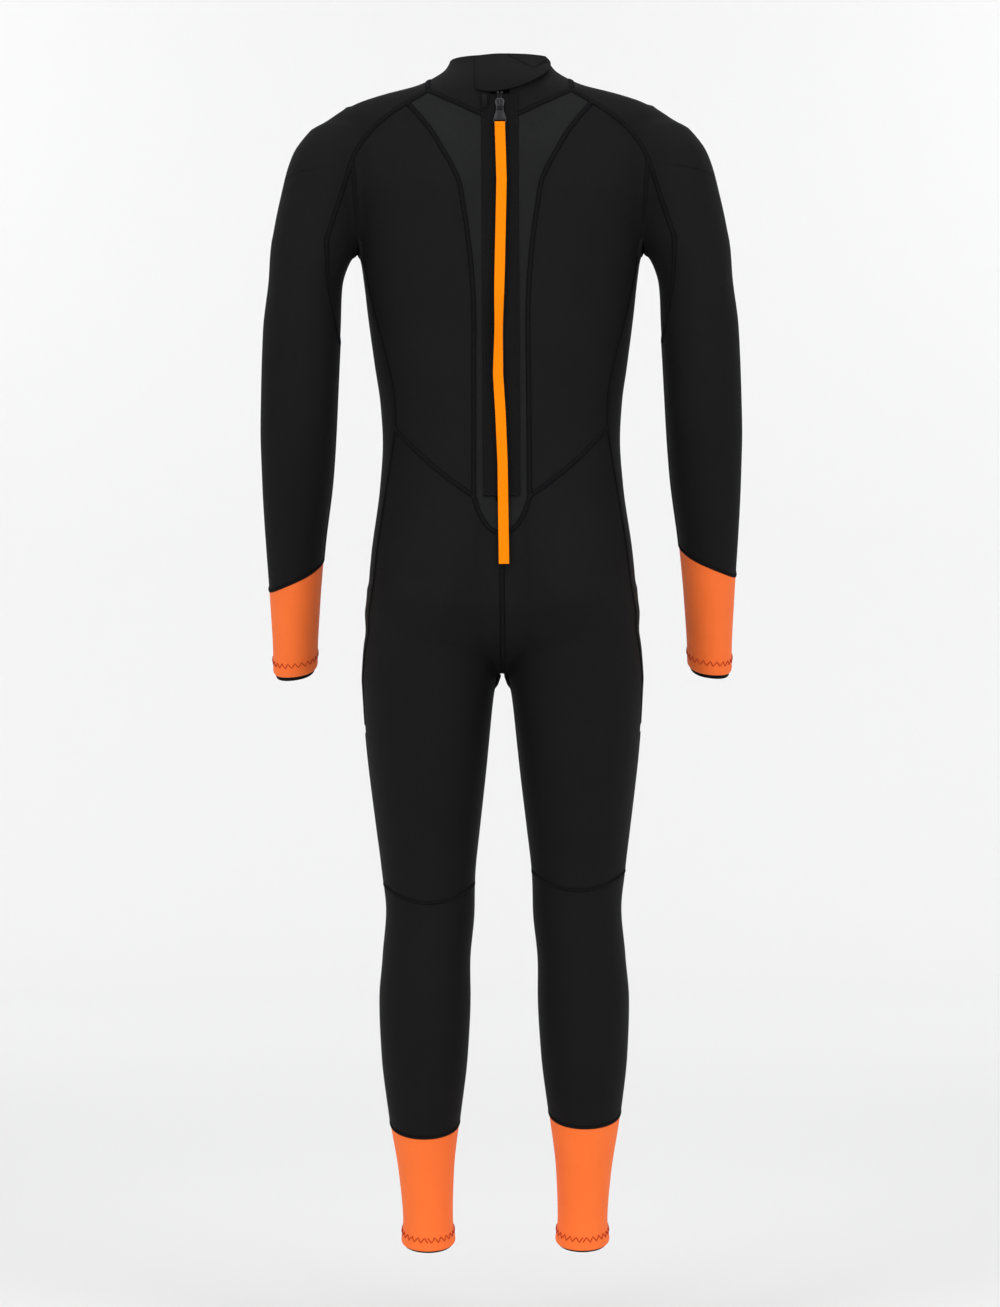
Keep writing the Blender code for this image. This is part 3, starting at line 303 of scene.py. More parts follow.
def arm(x, y, z):
    """Distance outside the right arm: an oval about its axis at each height, plus the way past its ends."""
    ends = np.maximum(0, z - ARM_TOP) + np.maximum(0, ARM_END - z)
    return oval(np.abs(x) - ARM_X(z), y - ARM_Y(z), ARM_WIDE(z), ARM_DEEP(z)) + ends


def leg(x, y, z):
    """Distance outside the right leg: an oval about its axis at each height, plus the way above its top."""
    return oval(x - LEG_X(z), y - LEG_Y(z), LEG_WIDE(z), LEG_DEEP(z)) + np.maximum(0, z - LEG_TOP)


def blend(a, b, width):
    """Smooth lower of two distances."""
    h = np.maximum(width - np.abs(a - b), 0) / width
    return np.minimum(a, b) - h * h * width / 4


def body(x, y, z):
    """The whole suit's surface is where this is zero: trunk, two legs and the right arm, blended."""
    legs = blend(leg(x, y, z), leg(-x, y, z), LEGS_BLEND)
    return blend(blend(trunk(x, y, z), legs, HIP_BLEND), arm(x, y, z), SHOULDER_BLEND)


def crossing(value, start, toward, far):
    """Distance along each ray at which value turns positive, by halving; far where it never does."""
    low = np.zeros(len(start))
    high = np.broadcast_to(far, len(start)).astype(float)
    inside = value(*(start + toward * high[:, None]).T) < 0
    low = np.where(inside, high, low)
    for _ in range(26):
        middle = (low + high) / 2
        inside = value(*(start + toward * middle[:, None]).T) < 0
        low = np.where(inside, middle, low)
        high = np.where(inside, high, middle)
    return (low + high) / 2


def cast(start, toward, beyond, far):
    """Surface points along rays from inside, stopped where beyond says that another limb begins."""
    limit = crossing(beyond, start, toward, far)
    return start + toward * crossing(body, start, toward, limit)[:, None]


def flat_ray(angle):
    """Level unit vectors: angle 0 points to the back, +90 degrees to the right."""
    return np.stack([np.sin(angle), -np.cos(angle), 0 * angle], -1)


def trunk_points(angle, height):
    """Points around the trunk: angle 0 at the centre back, +90 degrees at the right side."""
    angle, height = np.broadcast_arrays(angle, height)
    a = angle.ravel()
    h = height.ravel()
    start = np.stack([0 * h, 0 * h, h], -1)
    p = cast(start, flat_ray(a), lambda x, y, z: trunk(x, y, z) - arm(x, y, z), TRUNK_REACH)
    return p.reshape(angle.shape + (3,))


def past_the_leg(x, y, z):
    """Positive on the other half of the suit, and nearer to the arm than to the hip."""
    return np.maximum(-x, np.minimum(trunk(x, y, z), leg(x, y, z)) - arm(x, y, z))


def past_the_arm(x, y, z):
    """Positive nearer to the trunk or the hip than to the arm."""
    return arm(x, y, z) - np.minimum(trunk(x, y, z), leg(x, y, z))


def leg_points(angle, height):
    """Points around the right leg and hip: angle 0 at the back, +90 degrees at the outer side."""
    angle, height = np.broadcast_arrays(angle, height)
    a = angle.ravel()
    h = height.ravel()
    start = np.stack([LEG_X(h), LEG_Y(h), h], -1)
    p = cast(start, flat_ray(a), past_the_leg, LEG_REACH)
    return p.reshape(angle.shape + (3,))


def arm_points(turn, height):
    """Points around the right arm: turn 0 at its outer side, +90 degrees at the back."""
    turn, height = np.broadcast_arrays(turn, height)
    w = turn.ravel()
    h = height.ravel()
    start = np.stack([ARM_X(h), ARM_Y(h), h], -1)
    toward = np.stack([np.cos(w), -np.sin(w), 0 * w], -1)
    return cast(start, toward, past_the_arm, ARM_REACH).reshape(turn.shape + (3,))


def trunk_polar(p):
    """Angle round the centre line, from 0 to a full turn, and height of points."""
    return np.stack([np.arctan2(p[..., 0], -p[..., 1]) % (2 * math.pi), p[..., 2]], -1)


def leg_polar(p):
    """Angle round the leg's axis, from minus to plus half a turn, and height of points."""
    h = p[..., 2]
    return np.stack([np.arctan2(p[..., 0] - LEG_X(h), LEG_Y(h) - p[..., 1]), h], -1)


def leg_polar_front(p):
    """leg_polar with the angle from 0 to a full turn, so that the front has no jump."""
    polar = leg_polar(p)
    return np.stack([polar[..., 0] % (2 * math.pi), polar[..., 1]], -1)


def lift(points, side):
    """Seam points given as (x, height), put on the back (side -1) or front (+1) of the surface."""
    x, h = np.asarray(points, float).T
    start = np.stack([x, 0 * x + MIDDLE_Y, h], -1)
    toward = np.tile([0.0, side, 0.0], (len(x), 1))
    return start + toward * crossing(body, start, toward, FLAT_REACH)[:, None]


def curve(points, count):
    """Evenly spaced points on a smooth curve through the given ones."""
    p = np.asarray(points, float)
    at = np.r_[0, np.cumsum(np.linalg.norm(np.diff(p, axis=0), axis=1))]
    slope = np.gradient(p, at, axis=0)
    q = np.linspace(0, at[-1], 40 * len(p))
    i = np.clip(np.searchsorted(at, q) - 1, 0, len(at) - 2)
    step = (at[i + 1] - at[i])[:, None]
    t = (q - at[i])[:, None] / step
    fine = (p[i] * (1 + 2 * t) * (1 - t) ** 2 + p[i + 1] * t * t * (3 - 2 * t)
            + step * slope[i] * t * (1 - t) ** 2 - step * slope[i + 1] * t * t * (1 - t))
    return spread(fine, count)


def spread(points, count):
    """The same line with evenly spaced points."""
    at = np.r_[0, np.cumsum(np.linalg.norm(np.diff(points, axis=0), axis=1))]
    q = np.linspace(0, at[-1], count)
    return np.stack([np.interp(q, at, column) for column in points.T], -1)


def coons(left, right, top, bottom):
    """Grid that fills four edges: left and right run down, top and bottom run across."""
    v = np.linspace(0, 1, len(left))[:, None, None]
    u = np.linspace(0, 1, len(top))[None, :, None]
    across = left[:, None] * (1 - u) + right[:, None] * u
    down = top[None] * (1 - v) + bottom[None] * v
    corners = ((left[0] * (1 - u) + right[0] * u) * (1 - v) + (left[-1] * (1 - u) + right[-1] * u) * v)
    return across + down - corners


def chain(*pieces):
    """Lines laid end to end, each (points, count) evenly spaced, with their corners kept."""
    lines = [spread(points, count) for points, count in pieces]
    return np.vstack([lines[0]] + [line[1:] for line in lines[1:]])


def patch(to_polar, to_points, left, right, top, bottom):
    """Surface grid between four seam lines given as points."""
    grid = coons(*[to_polar(edge) for edge in (left, right, top, bottom)])
    return to_points(grid[..., 0], grid[..., 1])


def leg_patch(to_polar, left, right, top, bottom):
    """patch for a leg, with angles as shares between its long edges, so that no row crosses them."""
    sides = [to_polar(edge) for edge in (left, right)]

    def limits(height):
        """The angles of both long edges at a height."""
        return [np.interp(-height, -side[:, 1], side[:, 0]) for side in sides]

    edges = []
    for edge in (left, right, top, bottom):
        angle, height = to_polar(edge).T
        first, last = limits(height)
        edges.append(np.stack([(angle - first) / (last - first), height], -1))
    share, height = np.moveaxis(coons(*edges), -1, 0)
    first, last = limits(height)
    return leg_points(first + (last - first) * share, height)


def crease(turn):
    """Highest point of the armpit gap, as seen from the arm's axis at each turn."""
    turn = np.asarray(turn, float)
    low = np.full(turn.shape, -0.32)
    high = np.full(turn.shape, -0.13)
    for _ in range(24):
        middle = (low + high) / 2
        p = arm_points(turn, middle)
        closed = body(*p.T) < -1e-5
        high = np.where(closed, middle, high)
        low = np.where(closed, low, middle)
    return low - 0.001


def armhole(first, last, count):
    """Points on the armpit's crease between two turns, counted from the inner side of the arm."""
    turn = math.pi - np.linspace(first, last, count)
    return arm_points(turn, crease(turn))


def wrist_seam(turn):
    """Height of the seam above the cuff, by the turn round the arm: a tilted level line."""
    return -0.632 - 0.018 * np.cos(turn) - 0.011 * np.sin(turn)


def wrist_hem(turn):
    """Height of the wrist's hem, by the turn round the arm: a tilted level line."""
    return -0.759 - 0.0035 * np.cos(turn) - 0.012 * np.sin(turn)


def knee_seam(angle):
    """Height of the seam behind the knee, by angle: it dips by the squared cosine."""
    return -1.022 - 0.021 * np.cos(angle) ** 2


def ankle_seam(angle):
    """Height of the seam above the ankle cuff, by angle: lower behind."""
    return -1.321 - 0.015 * np.cos(angle)


def ankle_hem(angle):
    """Height of the ankle's hem, by angle: lower behind."""
    return -1.4745 - 0.010 * np.cos(angle)


def raglan_line(side, count):
    """Raglan seam as (x, height) on the back (side -1) or front (+1), from collar to armhole."""
    return curve(RAGLAN + [raglan_end(side)], count)


@functools.lru_cache(maxsize=None)
def corner_height(side):
    """Height of the armhole's corner with the gusset, behind (1) or in front (-1)."""
    return float(crease(math.pi - side * CORNER_TURN))


@functools.lru_cache(maxsize=None)
def raglan_end(side):
    """The raglan seam's lower end, where it meets the armhole, as (x, height)."""
    corner = armhole(-side * CORNER_TURN, 0, 2)[0]
    return corner[0], corner[2]


def gusset_flank(side, share):
    """Turn and height along the gusset's edge, from its corner at the armhole to its widest place."""
    top = corner_height(side)
    turn = side * (CORNER_TURN + (GUSSET_TURN - CORNER_TURN) * share)
    return turn, top + (GUSSET_TOP - top) * share


def gusset_tail(side, share):
    """Turn and height along the gusset's edge, from its widest place to its tip: a parabola."""
    return side * GUSSET_TURN * (1 - share), GUSSET_TOP + (GUSSET_TIP - GUSSET_TOP) * (1 - (1 - share) ** 2)


def sleeve_grid(rows, columns, seam=None):
    """Rows that fan over the shoulder from the raglan seam, then run down the arm to the cuff."""
    fan, flank, tail, lower = rows
    u = np.linspace(0, 1, columns)
    behind = raglan_line(-1, fan)
    ahead = raglan_line(1, fan)
    grid = []
    for k in range(fan):
        place = behind[k] + (ahead[k] - behind[k]) * u[:, None]
        lean = math.radians(90 * (1 - k / (fan - 1)))
        w = math.pi * (0.5 - u)
        toward = np.stack([np.cos(w) * math.cos(lean), -np.sin(w), np.cos(w) * math.sin(lean)], -1)
        start = np.stack([place[:, 0], 0 * u + MIDDLE_Y, place[:, 1]], -1)
        grid.append(start + toward * crossing(body, start, toward, FLAT_REACH)[:, None])
    steps = [(gusset_flank, k / flank) for k in range(1, flank + 1)]
    steps += [(gusset_tail, k / tail) for k in range(1, tail + 1)]
    for edge, share in steps:
        turns, heights = np.array([edge(1, share), edge(-1, share)]).T
        ends = arm_points(math.pi - turns, heights)
        h = heights[0] + (heights[1] - heights[0]) * u
        slide = np.clip((behind[-1, 1] - h) / 0.05, 0, 1)
        centre = np.stack([behind[-1, 0] + (ARM_X(h) - behind[-1, 0]) * slide, ARM_Y(h), h], -1)
        reach = ends - centre[[0, -1]]
        first, last = np.arctan2(-reach[:, 1], reach[:, 0])
        w = np.linspace(first % (2 * math.pi), last % (-2 * math.pi), columns)
        toward = np.stack([np.cos(w), -np.sin(w), 0 * w], -1)
        grid.append(cast(centre, toward, past_the_arm, ARM_REACH))
    w = np.linspace(math.pi, -math.pi, columns)
    for share in np.linspace(0, 1, lower + 1)[1:]:
        grid.append(arm_points(w, GUSSET_TIP + share * ((seam or wrist_seam)(w) - GUSSET_TIP)))
    return np.array(grid)


def gusset_grid(rows, tail):
    """The underarm gusset, from the armhole down to the parabola that the sleeve is cut along."""
    share = np.linspace(-1, 1, 2 * tail + 1)
    top = crease(math.pi - share * CORNER_TURN)
    turn_low, bottom = gusset_tail(np.sign(share), 1 - np.abs(share))
    v = np.linspace(0, 1, rows)[:, None]
    turn = share * CORNER_TURN * (1 - v) + turn_low * v
    return arm_points(math.pi - turn, top + (bottom - top) * v)


def tube_grid(to_points, top, bottom, rows, columns, turns=(0, 2 * math.pi)):
    """Rows round a limb between two seam heights given as functions of the angle."""
    angle = np.linspace(*turns, columns)
    v = np.linspace(0, 1, rows)[:, None]
    return to_points(np.tile(angle, (rows, 1)), top(angle) + (bottom(angle) - top(angle)) * v)


def leg_edge(angles, top, bottom, count):
    """A seam down the leg, from one angle to another."""
    return leg_points(np.linspace(*angles, count), np.linspace(top, bottom, count))


def leg_band(height, first, last, count):
    """A seam across the leg between two angles, at a height that depends on the angle."""
    angle = np.linspace(first, last, count)
    return leg_points(angle, height(angle))


def side_line(side, first, last):
    """The side panel's seam between two heights, on the back (side -1) or the front (+1)."""
    start = armhole(SIDE_START_TURN, 0, 2)[0]
    upper = lift(curve([(start[0], start[2])] + SIDE_SEAM, 80), -1)
    if side > 0:
        start = armhole(-SIDE_START_TURN, 0, 2)[:1]
        turn, height = leg_polar(upper).T
        height_ahead = np.r_[start[0, 2], height[height < start[0, 2]]]
        turn_ahead = math.pi - np.interp(-height_ahead, -height, turn)
        fade = np.exp(-((start[0, 2] - height_ahead) / 0.04))
        turn_ahead += (leg_polar(start)[0, 0] - turn_ahead[0]) * fade
        upper = np.vstack([start, leg_points(turn_ahead, height_ahead)[1:]])
    turns = (leg_polar(upper[-1])[0], OUTSEAM_TOP_TURN + side * SIDE_TAIL_HALF)
    tail = leg_edge(turns, upper[-1, 2], SIDE_TAIL_END, 20)
    line = np.vstack([upper, tail[1:]])
    ends = [np.array([np.interp(-h, -line[:, 2], c) for c in line.T]) for h in (first, last)]
    inside = (line[:, 2] < first - 1e-6) & (line[:, 2] > last + 1e-6)
    if first > line[0, 2]:
        ends[0] = line[0]
        inside[0] = False
    return np.vstack([ends[:1], line[inside], ends[1:]])


def crotch():
    """The lowest point where the two legs join, on the centre line."""
    low = -0.85
    high = -0.72
    for _ in range(30):
        middle = (low + high) / 2
        if body(0.0, float(LEG_Y(middle)), middle) < 0:
            high = middle
        else:
            low = middle
    return high


def centre_line(side, top):
    """The centre seam from a height down to the crotch, on the back or the front."""
    height = np.linspace(top, crotch() + 0.0003, 40)
    return lift(np.stack([0 * height, height], -1), side)


def outseam(bottom):
    """The leg's outer seam, from the side panel's tail down."""
    return leg_edge((OUTSEAM_TOP_TURN, OUTSEAM), SIDE_TAIL_END - 0.010, bottom, 30)


def inseam(bottom):
    """The leg's inner seam, from the crotch down."""
    return leg_edge((-math.pi / 2, INSEAM), crotch() - 0.0012, bottom, 30)


def both(line):
    """A line from the right side to the centre, carried on to the left side."""
    return np.vstack([line, line[-2::-1] * np.array([-1, 1, 1])])


# ---- meshes ----

def outward(points):
    """Unit normals of the body surface: the slope of its distance, from central differences."""
    p = points.reshape(-1, 3)
    step = 4e-4
    slope = [body(*(p + step * axis).T) - body(*(p - step * axis).T) for axis in np.eye(3)]
    n = np.stack(slope, -1) + 1e-12
    return (n / np.linalg.norm(n, axis=-1, keepdims=True)).reshape(points.shape)


def arc_lengths(grid, axis):
    """Length along the grid from its first row or column, the mean over the other direction."""
    step = np.linalg.norm(np.diff(grid, axis=axis), axis=-1).mean(axis=1 - axis)
    return np.r_[0, np.cumsum(step)]


def rolled_edge(grid, sides, gap, roll):
    """Adds rows near each named border (t, b, l, r) and rolls them inwards: a cut neoprene edge.

    The border row stops gap short of the seam and sinks by roll; the rows 0.9 and 2.2 mm past it sink
    by 0.35 and 0.08 of that.
    """
    normal = outward(grid)
    for letter, axis, end in (("t", 0, 0), ("b", 0, -1), ("l", 1, 0), ("r", 1, -1)):
        if letter not in sides:
            continue
        g = grid.swapaxes(0, axis)
        n = normal.swapaxes(0, axis)
        inner = 1 if end == 0 else -2
        way = g[inner] - g[end]
        length = np.linalg.norm(way, axis=-1, keepdims=True) + 1e-9
        rows = []
        for beyond, sink in ROLL_ROWS:
            share = np.minimum((gap + beyond) / length, 0.9)
            rows.append(g[end] + way * share - n[end] * roll * sink)
        rows = np.array(rows)
        copies = np.repeat(n[end][None], 3, 0)
        if end == 0:
            g = np.concatenate([rows, g[1:]])
            n = np.concatenate([copies, n[1:]])
        else:
            g = np.concatenate([g[:-1], rows[::-1]])
            n = np.concatenate([n[:-1], copies])
        grid = g.swapaxes(0, axis)
        normal = n.swapaxes(0, axis)
    return grid


def grid_mesh(name, grid, ring=False, flip=False):
    """A mesh of quads over a grid of points, with a UV map in metres along its two directions."""
    if flip:
        grid = grid[:, ::-1] * MIRROR
    rows, columns = grid.shape[:2]
    u, v = np.meshgrid(arc_lengths(grid, 1), arc_lengths(grid, 0))
    number = np.arange(rows * columns).reshape(rows, columns)
    if ring:
        number[:, -1] = number[:, 0]
    corners = [number[:-1, :-1], number[1:, :-1], number[1:, 1:], number[:-1, 1:]]
    quads = np.stack(corners, -1).reshape(-1, 4)
    place = np.arange(rows * columns).reshape(rows, columns)
    places = np.stack([place[:-1, :-1], place[1:, :-1], place[1:, 1:], place[:-1, 1:]], -1).reshape(-1)
    used, compact = np.unique(quads, return_inverse=True)
    mesh = build_mesh(name, grid.reshape(-1, 3)[used], compact.reshape(-1, 4))
    layer = mesh.uv_layers.new(name="cloth")
    layer.data.foreach_set("uv", np.stack([u, v], -1).reshape(-1, 2)[places].ravel())
    return mesh


def build_mesh(name, points, faces):
    """A smooth-shaded mesh from an array of points and an array of equal-sided faces."""
    sides = faces.shape[1]
    mesh = bpy.data.meshes.new(name)
    mesh.vertices.add(len(points))
    mesh.vertices.foreach_set("co", np.ascontiguousarray(points, float).ravel())
    mesh.loops.add(faces.size)
    mesh.loops.foreach_set("vertex_index", np.ascontiguousarray(faces, "i4").ravel())
    mesh.polygons.add(len(faces))
    mesh.polygons.foreach_set("loop_start", np.arange(0, faces.size, sides, dtype="i4"))
    mesh.update(calc_edges=True)
    mesh.shade_smooth()
    return mesh


def piece(name, mesh, finish, part, replaces=()):
    """Puts a mesh in the scene as a named piece that rides on one body of the frame."""
    made = bpy.data.objects.new(name, mesh)
    bpy.context.scene.collection.objects.link(made)
    mesh.materials.append(finish)
    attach(made, part)
    if replaces:
        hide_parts(*replaces)
    return made


def thicken(made, thick, rim_bevel=0.0):
    """Grows the surface inwards to a sheet of that thickness, with its rim bevelled if asked."""
    wall = made.modifiers.new("thickness", "SOLIDIFY")
    wall.thickness = thick
    wall.offset = -1.0
    if rim_bevel:
        edge = made.modifiers.new("rim", "BEVEL")
        edge.width = rim_bevel
        edge.segments = 2
        edge.limit_method = "ANGLE"
        edge.angle_limit = math.radians(50)


def sheet_piece(name, grid, finish, slot, node, sides="tblr", ring=False, flip=False, thick=SHEET,
                gap=EDGE_GAP, roll=0.0011, rim_bevel=0.0):
    """A neoprene panel: the grid with rolled edges, thickened inwards; its flat cut and area are worked out
    but not kept.
    """
    if sides:
        grid = rolled_edge(grid, sides, gap, roll)
    made = piece(name, grid_mesh(name, grid, ring, flip), finish, "suit", (node,))
    thicken(made, thick, rim_bevel)
    declare_sheet(grid)
    return made


def declare_sheet(grid):
    """The flat cut is the box of the longest row and longest column, and area is the grid's own."""
    rows = np.linalg.norm(np.diff(grid, axis=1), axis=-1).sum(axis=1)
    columns = np.linalg.norm(np.diff(grid, axis=0), axis=-1).sum(axis=0)
    width = max(float(rows.max()), 0.011)
    length = max(float(columns.max()), 0.011)
    across = np.diff(grid, axis=1)[:-1]
    down = np.diff(grid, axis=0)[:, :-1]
    area = float(np.linalg.norm(np.cross(across, down), axis=-1).sum())
    area = min(max(area, 0.301 * width * length), width * length)


def both_sides(name, grids, finish, slot, **options):
    """The panel for the right side, and the mirrored one for the left, from a function of side."""
    for side, word in ((1, "right"), (-1, "left")):
        node = name + "_" + word
        sheet_piece(node + "_cloth", grids(side), finish, slot, node, flip=side < 0, **options)


def tube(path, half_wide, half_deep, across, sides=6, closed=False):
    """Points and quads of a tube: at each path point an oval in the plane of across and out.

    across is a unit vector for each path point; out is the path's direction crossed with it.
    """
    along = np.gradient(path, axis=0)
    if closed:
        along = np.roll(path, -1, 0) - np.roll(path, 1, 0)
    along = along / (np.linalg.norm(along, axis=-1, keepdims=True) + 1e-12)
    out = np.cross(along, across)
    out = out / (np.linalg.norm(out, axis=-1, keepdims=True) + 1e-12)
    turn = np.arange(sides) * 2 * math.pi / sides
    ring = (np.cos(turn)[:, None] * half_wide)[None] * across[:, None] + (
        np.sin(turn)[:, None] * half_deep)[None] * out[:, None]
    points = (path[:, None] + ring).reshape(-1, 3)
    count = len(path)
    spans = count if closed else count - 1
    i = np.arange(spans)[:, None] * sides
    j = (np.arange(1, spans + 1) % count)[:, None] * sides
    k = np.arange(sides)[None]
    m = (k + 1) % sides
    faces = np.stack([i + k, i + m, j + m, j + k], -1).reshape(-1, 4)
    return points, faces


def capped(points, faces, sides):
    """Closes an open tube's two ends with a fan of quads that share the end's middle."""
    first = points[:sides].mean(0)
    last = points[-sides:].mean(0)
    a = len(points)
    b = len(points) + 1
    k = np.arange(0, sides, 2)
    base = len(points) - sides
    start = np.stack([np.full(k.size, a), (k + 2) % sides, k + 1, k], -1)
    end = np.stack([np.full(k.size, b), base + k, base + k + 1, base + (k + 2) % sides], -1)
    return np.vstack([points, first, last]), np.vstack([faces, start, end])


def gather(parts):
    """Several (points, faces) as one."""
    shift = np.cumsum([0] + [len(p) for p, _ in parts[:-1]])
    return np.vstack([p for p, _ in parts]), np.vstack([f + s for (_, f), s in zip(parts, shift)])


# ---- threads ----

def stitched(line, wide, pitch, thread=THREAD):
    """A flatlock seam: one thread that runs zigzag over the seam line, a crossing every half pitch."""
    line = np.asarray(line)
    at = np.r_[0, np.cumsum(np.linalg.norm(np.diff(line, axis=0), axis=1))]
    count = max(4, int(at[-1] / pitch) * 2)
    q = np.linspace(at[0], at[-1], count)
    centre = np.stack([np.interp(q, at, c) for c in line.T], -1)
    along = np.gradient(centre, axis=0)
    along = along / (np.linalg.norm(along, axis=-1, keepdims=True) + 1e-12)
    normal = outward(centre)
    across = np.cross(normal, along)
    across = across / (np.linalg.norm(across, axis=-1, keepdims=True) + 1e-12)
    side = np.where(np.arange(count) % 2, 0.5, -0.5)[:, None] * wide
    path = centre + across * side + normal * THREAD_LIFT
    middle = (path[1:] + path[:-1]) / 2 + (normal[1:] + normal[:-1]) / 2 * THREAD_LIFT
    full = np.empty((2 * count - 1, 3))
    full[::2] = path
    full[1::2] = middle
    normals = np.empty_like(full)
    normals[::2] = normal
    normals[1::2] = (normal[1:] + normal[:-1]) / 2
    points, faces = tube(full, thread, thread, normals, THREAD_SIDES)
    return capped(points, faces, THREAD_SIDES)


# ---- finishes ----

def nodes_of(name, colour, roughness, metallic=0.0, sheen=0.0, specular=0.5):
    """A material with a Principled shader, and the node tree's usual helpers."""
    made = bpy.data.materials.new(name)
    made.use_nodes = True
    tree = made.node_tree
    shader = tree.nodes["Principled BSDF"]
    shader.inputs["Base Color"].default_value = (*colour, 1)
    shader.inputs["Roughness"].default_value = roughness
    shader.inputs["Metallic"].default_value = metallic
    shader.inputs["Specular IOR Level"].default_value = specular
    shader.inputs["Sheen Weight"].default_value = sheen
    shader.inputs["Sheen Roughness"].default_value = 0.5
    return made, tree, shader


def waves(tree, coordinates, period, direction):
    """Sine bands of that period in metres along X, Y or the diagonal of the coordinates."""
    wave = tree.nodes.new("ShaderNodeTexWave")
    wave.bands_direction = direction
    wave.inputs["Scale"].default_value = math.pi / (10 * period)
    tree.links.new(coordinates, wave.inputs["Vector"])
    return wave.outputs["Fac"]


def noise(tree, coordinates, size, detail=3.0):
    """Cloudy noise with features of about that size in metres."""
    texture = tree.nodes.new("ShaderNodeTexNoise")
    texture.inputs["Scale"].default_value = 1 / size
    texture.inputs["Detail"].default_value = detail
    tree.links.new(coordinates, texture.inputs["Vector"])
    return texture.outputs["Fac"]


def combine(tree, operation, a, b):
    """A math node on two sockets or numbers."""
    node = tree.nodes.new("ShaderNodeMath")
    node.operation = operation
    for socket, value in zip(node.inputs, (a, b)):
        if isinstance(value, (int, float)):
            socket.default_value = value
        else:
            tree.links.new(value, socket)
    return node.outputs[0]


def emboss(tree, shader, height, depth):
    """Bumps the surface by the height times depth in metres."""
    node = tree.nodes.new("ShaderNodeBump")
    node.inputs["Distance"].default_value = depth
    node.inputs["Strength"].default_value = 1.0
    tree.links.new(height, node.inputs["Height"])
    tree.links.new(node.outputs["Normal"], shader.inputs["Normal"])


def shade_between(tree, shader, factor, low, high):
    """Base colour that runs from low to high with the factor."""
    ramp = tree.nodes.new("ShaderNodeValToRGB")
    ramp.color_ramp.elements[0].position = 0.3
    ramp.color_ramp.elements[1].position = 0.7
    ramp.color_ramp.elements[0].color = (*low, 1)
    ramp.color_ramp.elements[1].color = (*high, 1)
    tree.links.new(factor, ramp.inputs["Fac"])
    tree.links.new(ramp.outputs["Color"], shader.inputs["Base Color"])


def rougher(tree, shader, factor, low, high):
    """Roughness that runs from low to high with the factor."""
    node = tree.nodes.new("ShaderNodeMapRange")
    node.inputs["To Min"].default_value = low
    node.inputs["To Max"].default_value = high
    tree.links.new(factor, node.inputs["Value"])
    tree.links.new(node.outputs["Result"], shader.inputs["Roughness"])


def tinted(colour, factor):
    """The colour times a factor, kept to 1 at most."""
    return tuple(min(1.0, c * factor) for c in colour)


def jersey(name, colour, rib=0.0011, depth=0.00010, sheen=0.0, specular=0.10, mottle=0.18):
    """Knitted jersey face on neoprene: fine courses and wales, and a soft unevenness of colour."""
    made, tree, shader = nodes_of(name, colour, 0.78, sheen=sheen, specular=specular)
    where = tree.nodes.new("ShaderNodeTexCoord")
    wales = waves(tree, where.outputs["UV"], rib, "X")
    courses = waves(tree, where.outputs["UV"], rib * 0.7, "Y")
    knit = combine(tree, "MULTIPLY", wales, courses)
    fuzz = noise(tree, where.outputs["Object"], 0.0015, 2.0)
    emboss(tree, shader, combine(tree, "ADD", knit, combine(tree, "MULTIPLY", fuzz, 0.6)), depth)
    cloud = noise(tree, where.outputs["Object"], 0.07, 4.0)
    speckle = noise(tree, where.outputs["Object"], 0.0022, 2.0)
    mixed = combine(tree, "ADD", combine(tree, "MULTIPLY", cloud, 0.65),
                    combine(tree, "MULTIPLY", speckle, 0.35))
    shade_between(tree, shader, mixed, tinted(colour, 1 - mottle), tinted(colour, 1 + mottle))
    rougher(tree, shader, cloud, 0.70, 0.86)
    return made


def woven(name, colour, across, along, depth=0.00025, mottle=0.1):
    """Woven webbing or tape: diagonal-free ribs across and yarns along, on the piece's UV map."""
    made, tree, shader = nodes_of(name, colour, 0.7, specular=0.06)
    where = tree.nodes.new("ShaderNodeTexCoord")
    warp = waves(tree, where.outputs["UV"], across, "X")
    weft = waves(tree, where.outputs["UV"], along, "Y")
    weave = combine(tree, "ADD", combine(tree, "MULTIPLY", warp, 0.6), combine(tree, "MULTIPLY", weft, 0.4))
    emboss(tree, shader, weave, depth)
    cloud = noise(tree, where.outputs["Object"], 0.004, 3.0)
    shade_between(tree, shader, combine(tree, "MULTIPLY", combine(tree, "ADD", cloud, weave), 0.5),
                  tinted(colour, 1 - mottle), tinted(colour, 1 + mottle))
    return made


def moulded(name, colour, roughness, grain, depth, specular=0.4):
    """Rubber or plastic with a fine pebbled grain of that size in metres."""
    made, tree, shader = nodes_of(name, colour, roughness, specular=specular)
    where = tree.nodes.new("ShaderNodeTexCoord")
    cells = tree.nodes.new("ShaderNodeTexVoronoi")
    cells.inputs["Scale"].default_value = 1 / grain
    tree.links.new(where.outputs["Object"], cells.inputs["Vector"])
    emboss(tree, shader, cells.outputs["Distance"], depth)
    rougher(tree, shader, noise(tree, where.outputs["Object"], 0.01), roughness - 0.08, roughness + 0.08)
    return made


def metal(name, colour, roughness):
    """Cast and tumbled zinc: fine scratches in roughness and a faint unevenness."""
    made, tree, shader = nodes_of(name, colour, roughness, metallic=1.0)
    where = tree.nodes.new("ShaderNodeTexCoord")
    fine = noise(tree, where.outputs["Object"], 0.0006, 4.0)
    rougher(tree, shader, fine, roughness - 0.12, roughness + 0.15)
    emboss(tree, shader, fine, 0.00004)
    return made


# ---- panel grids ----

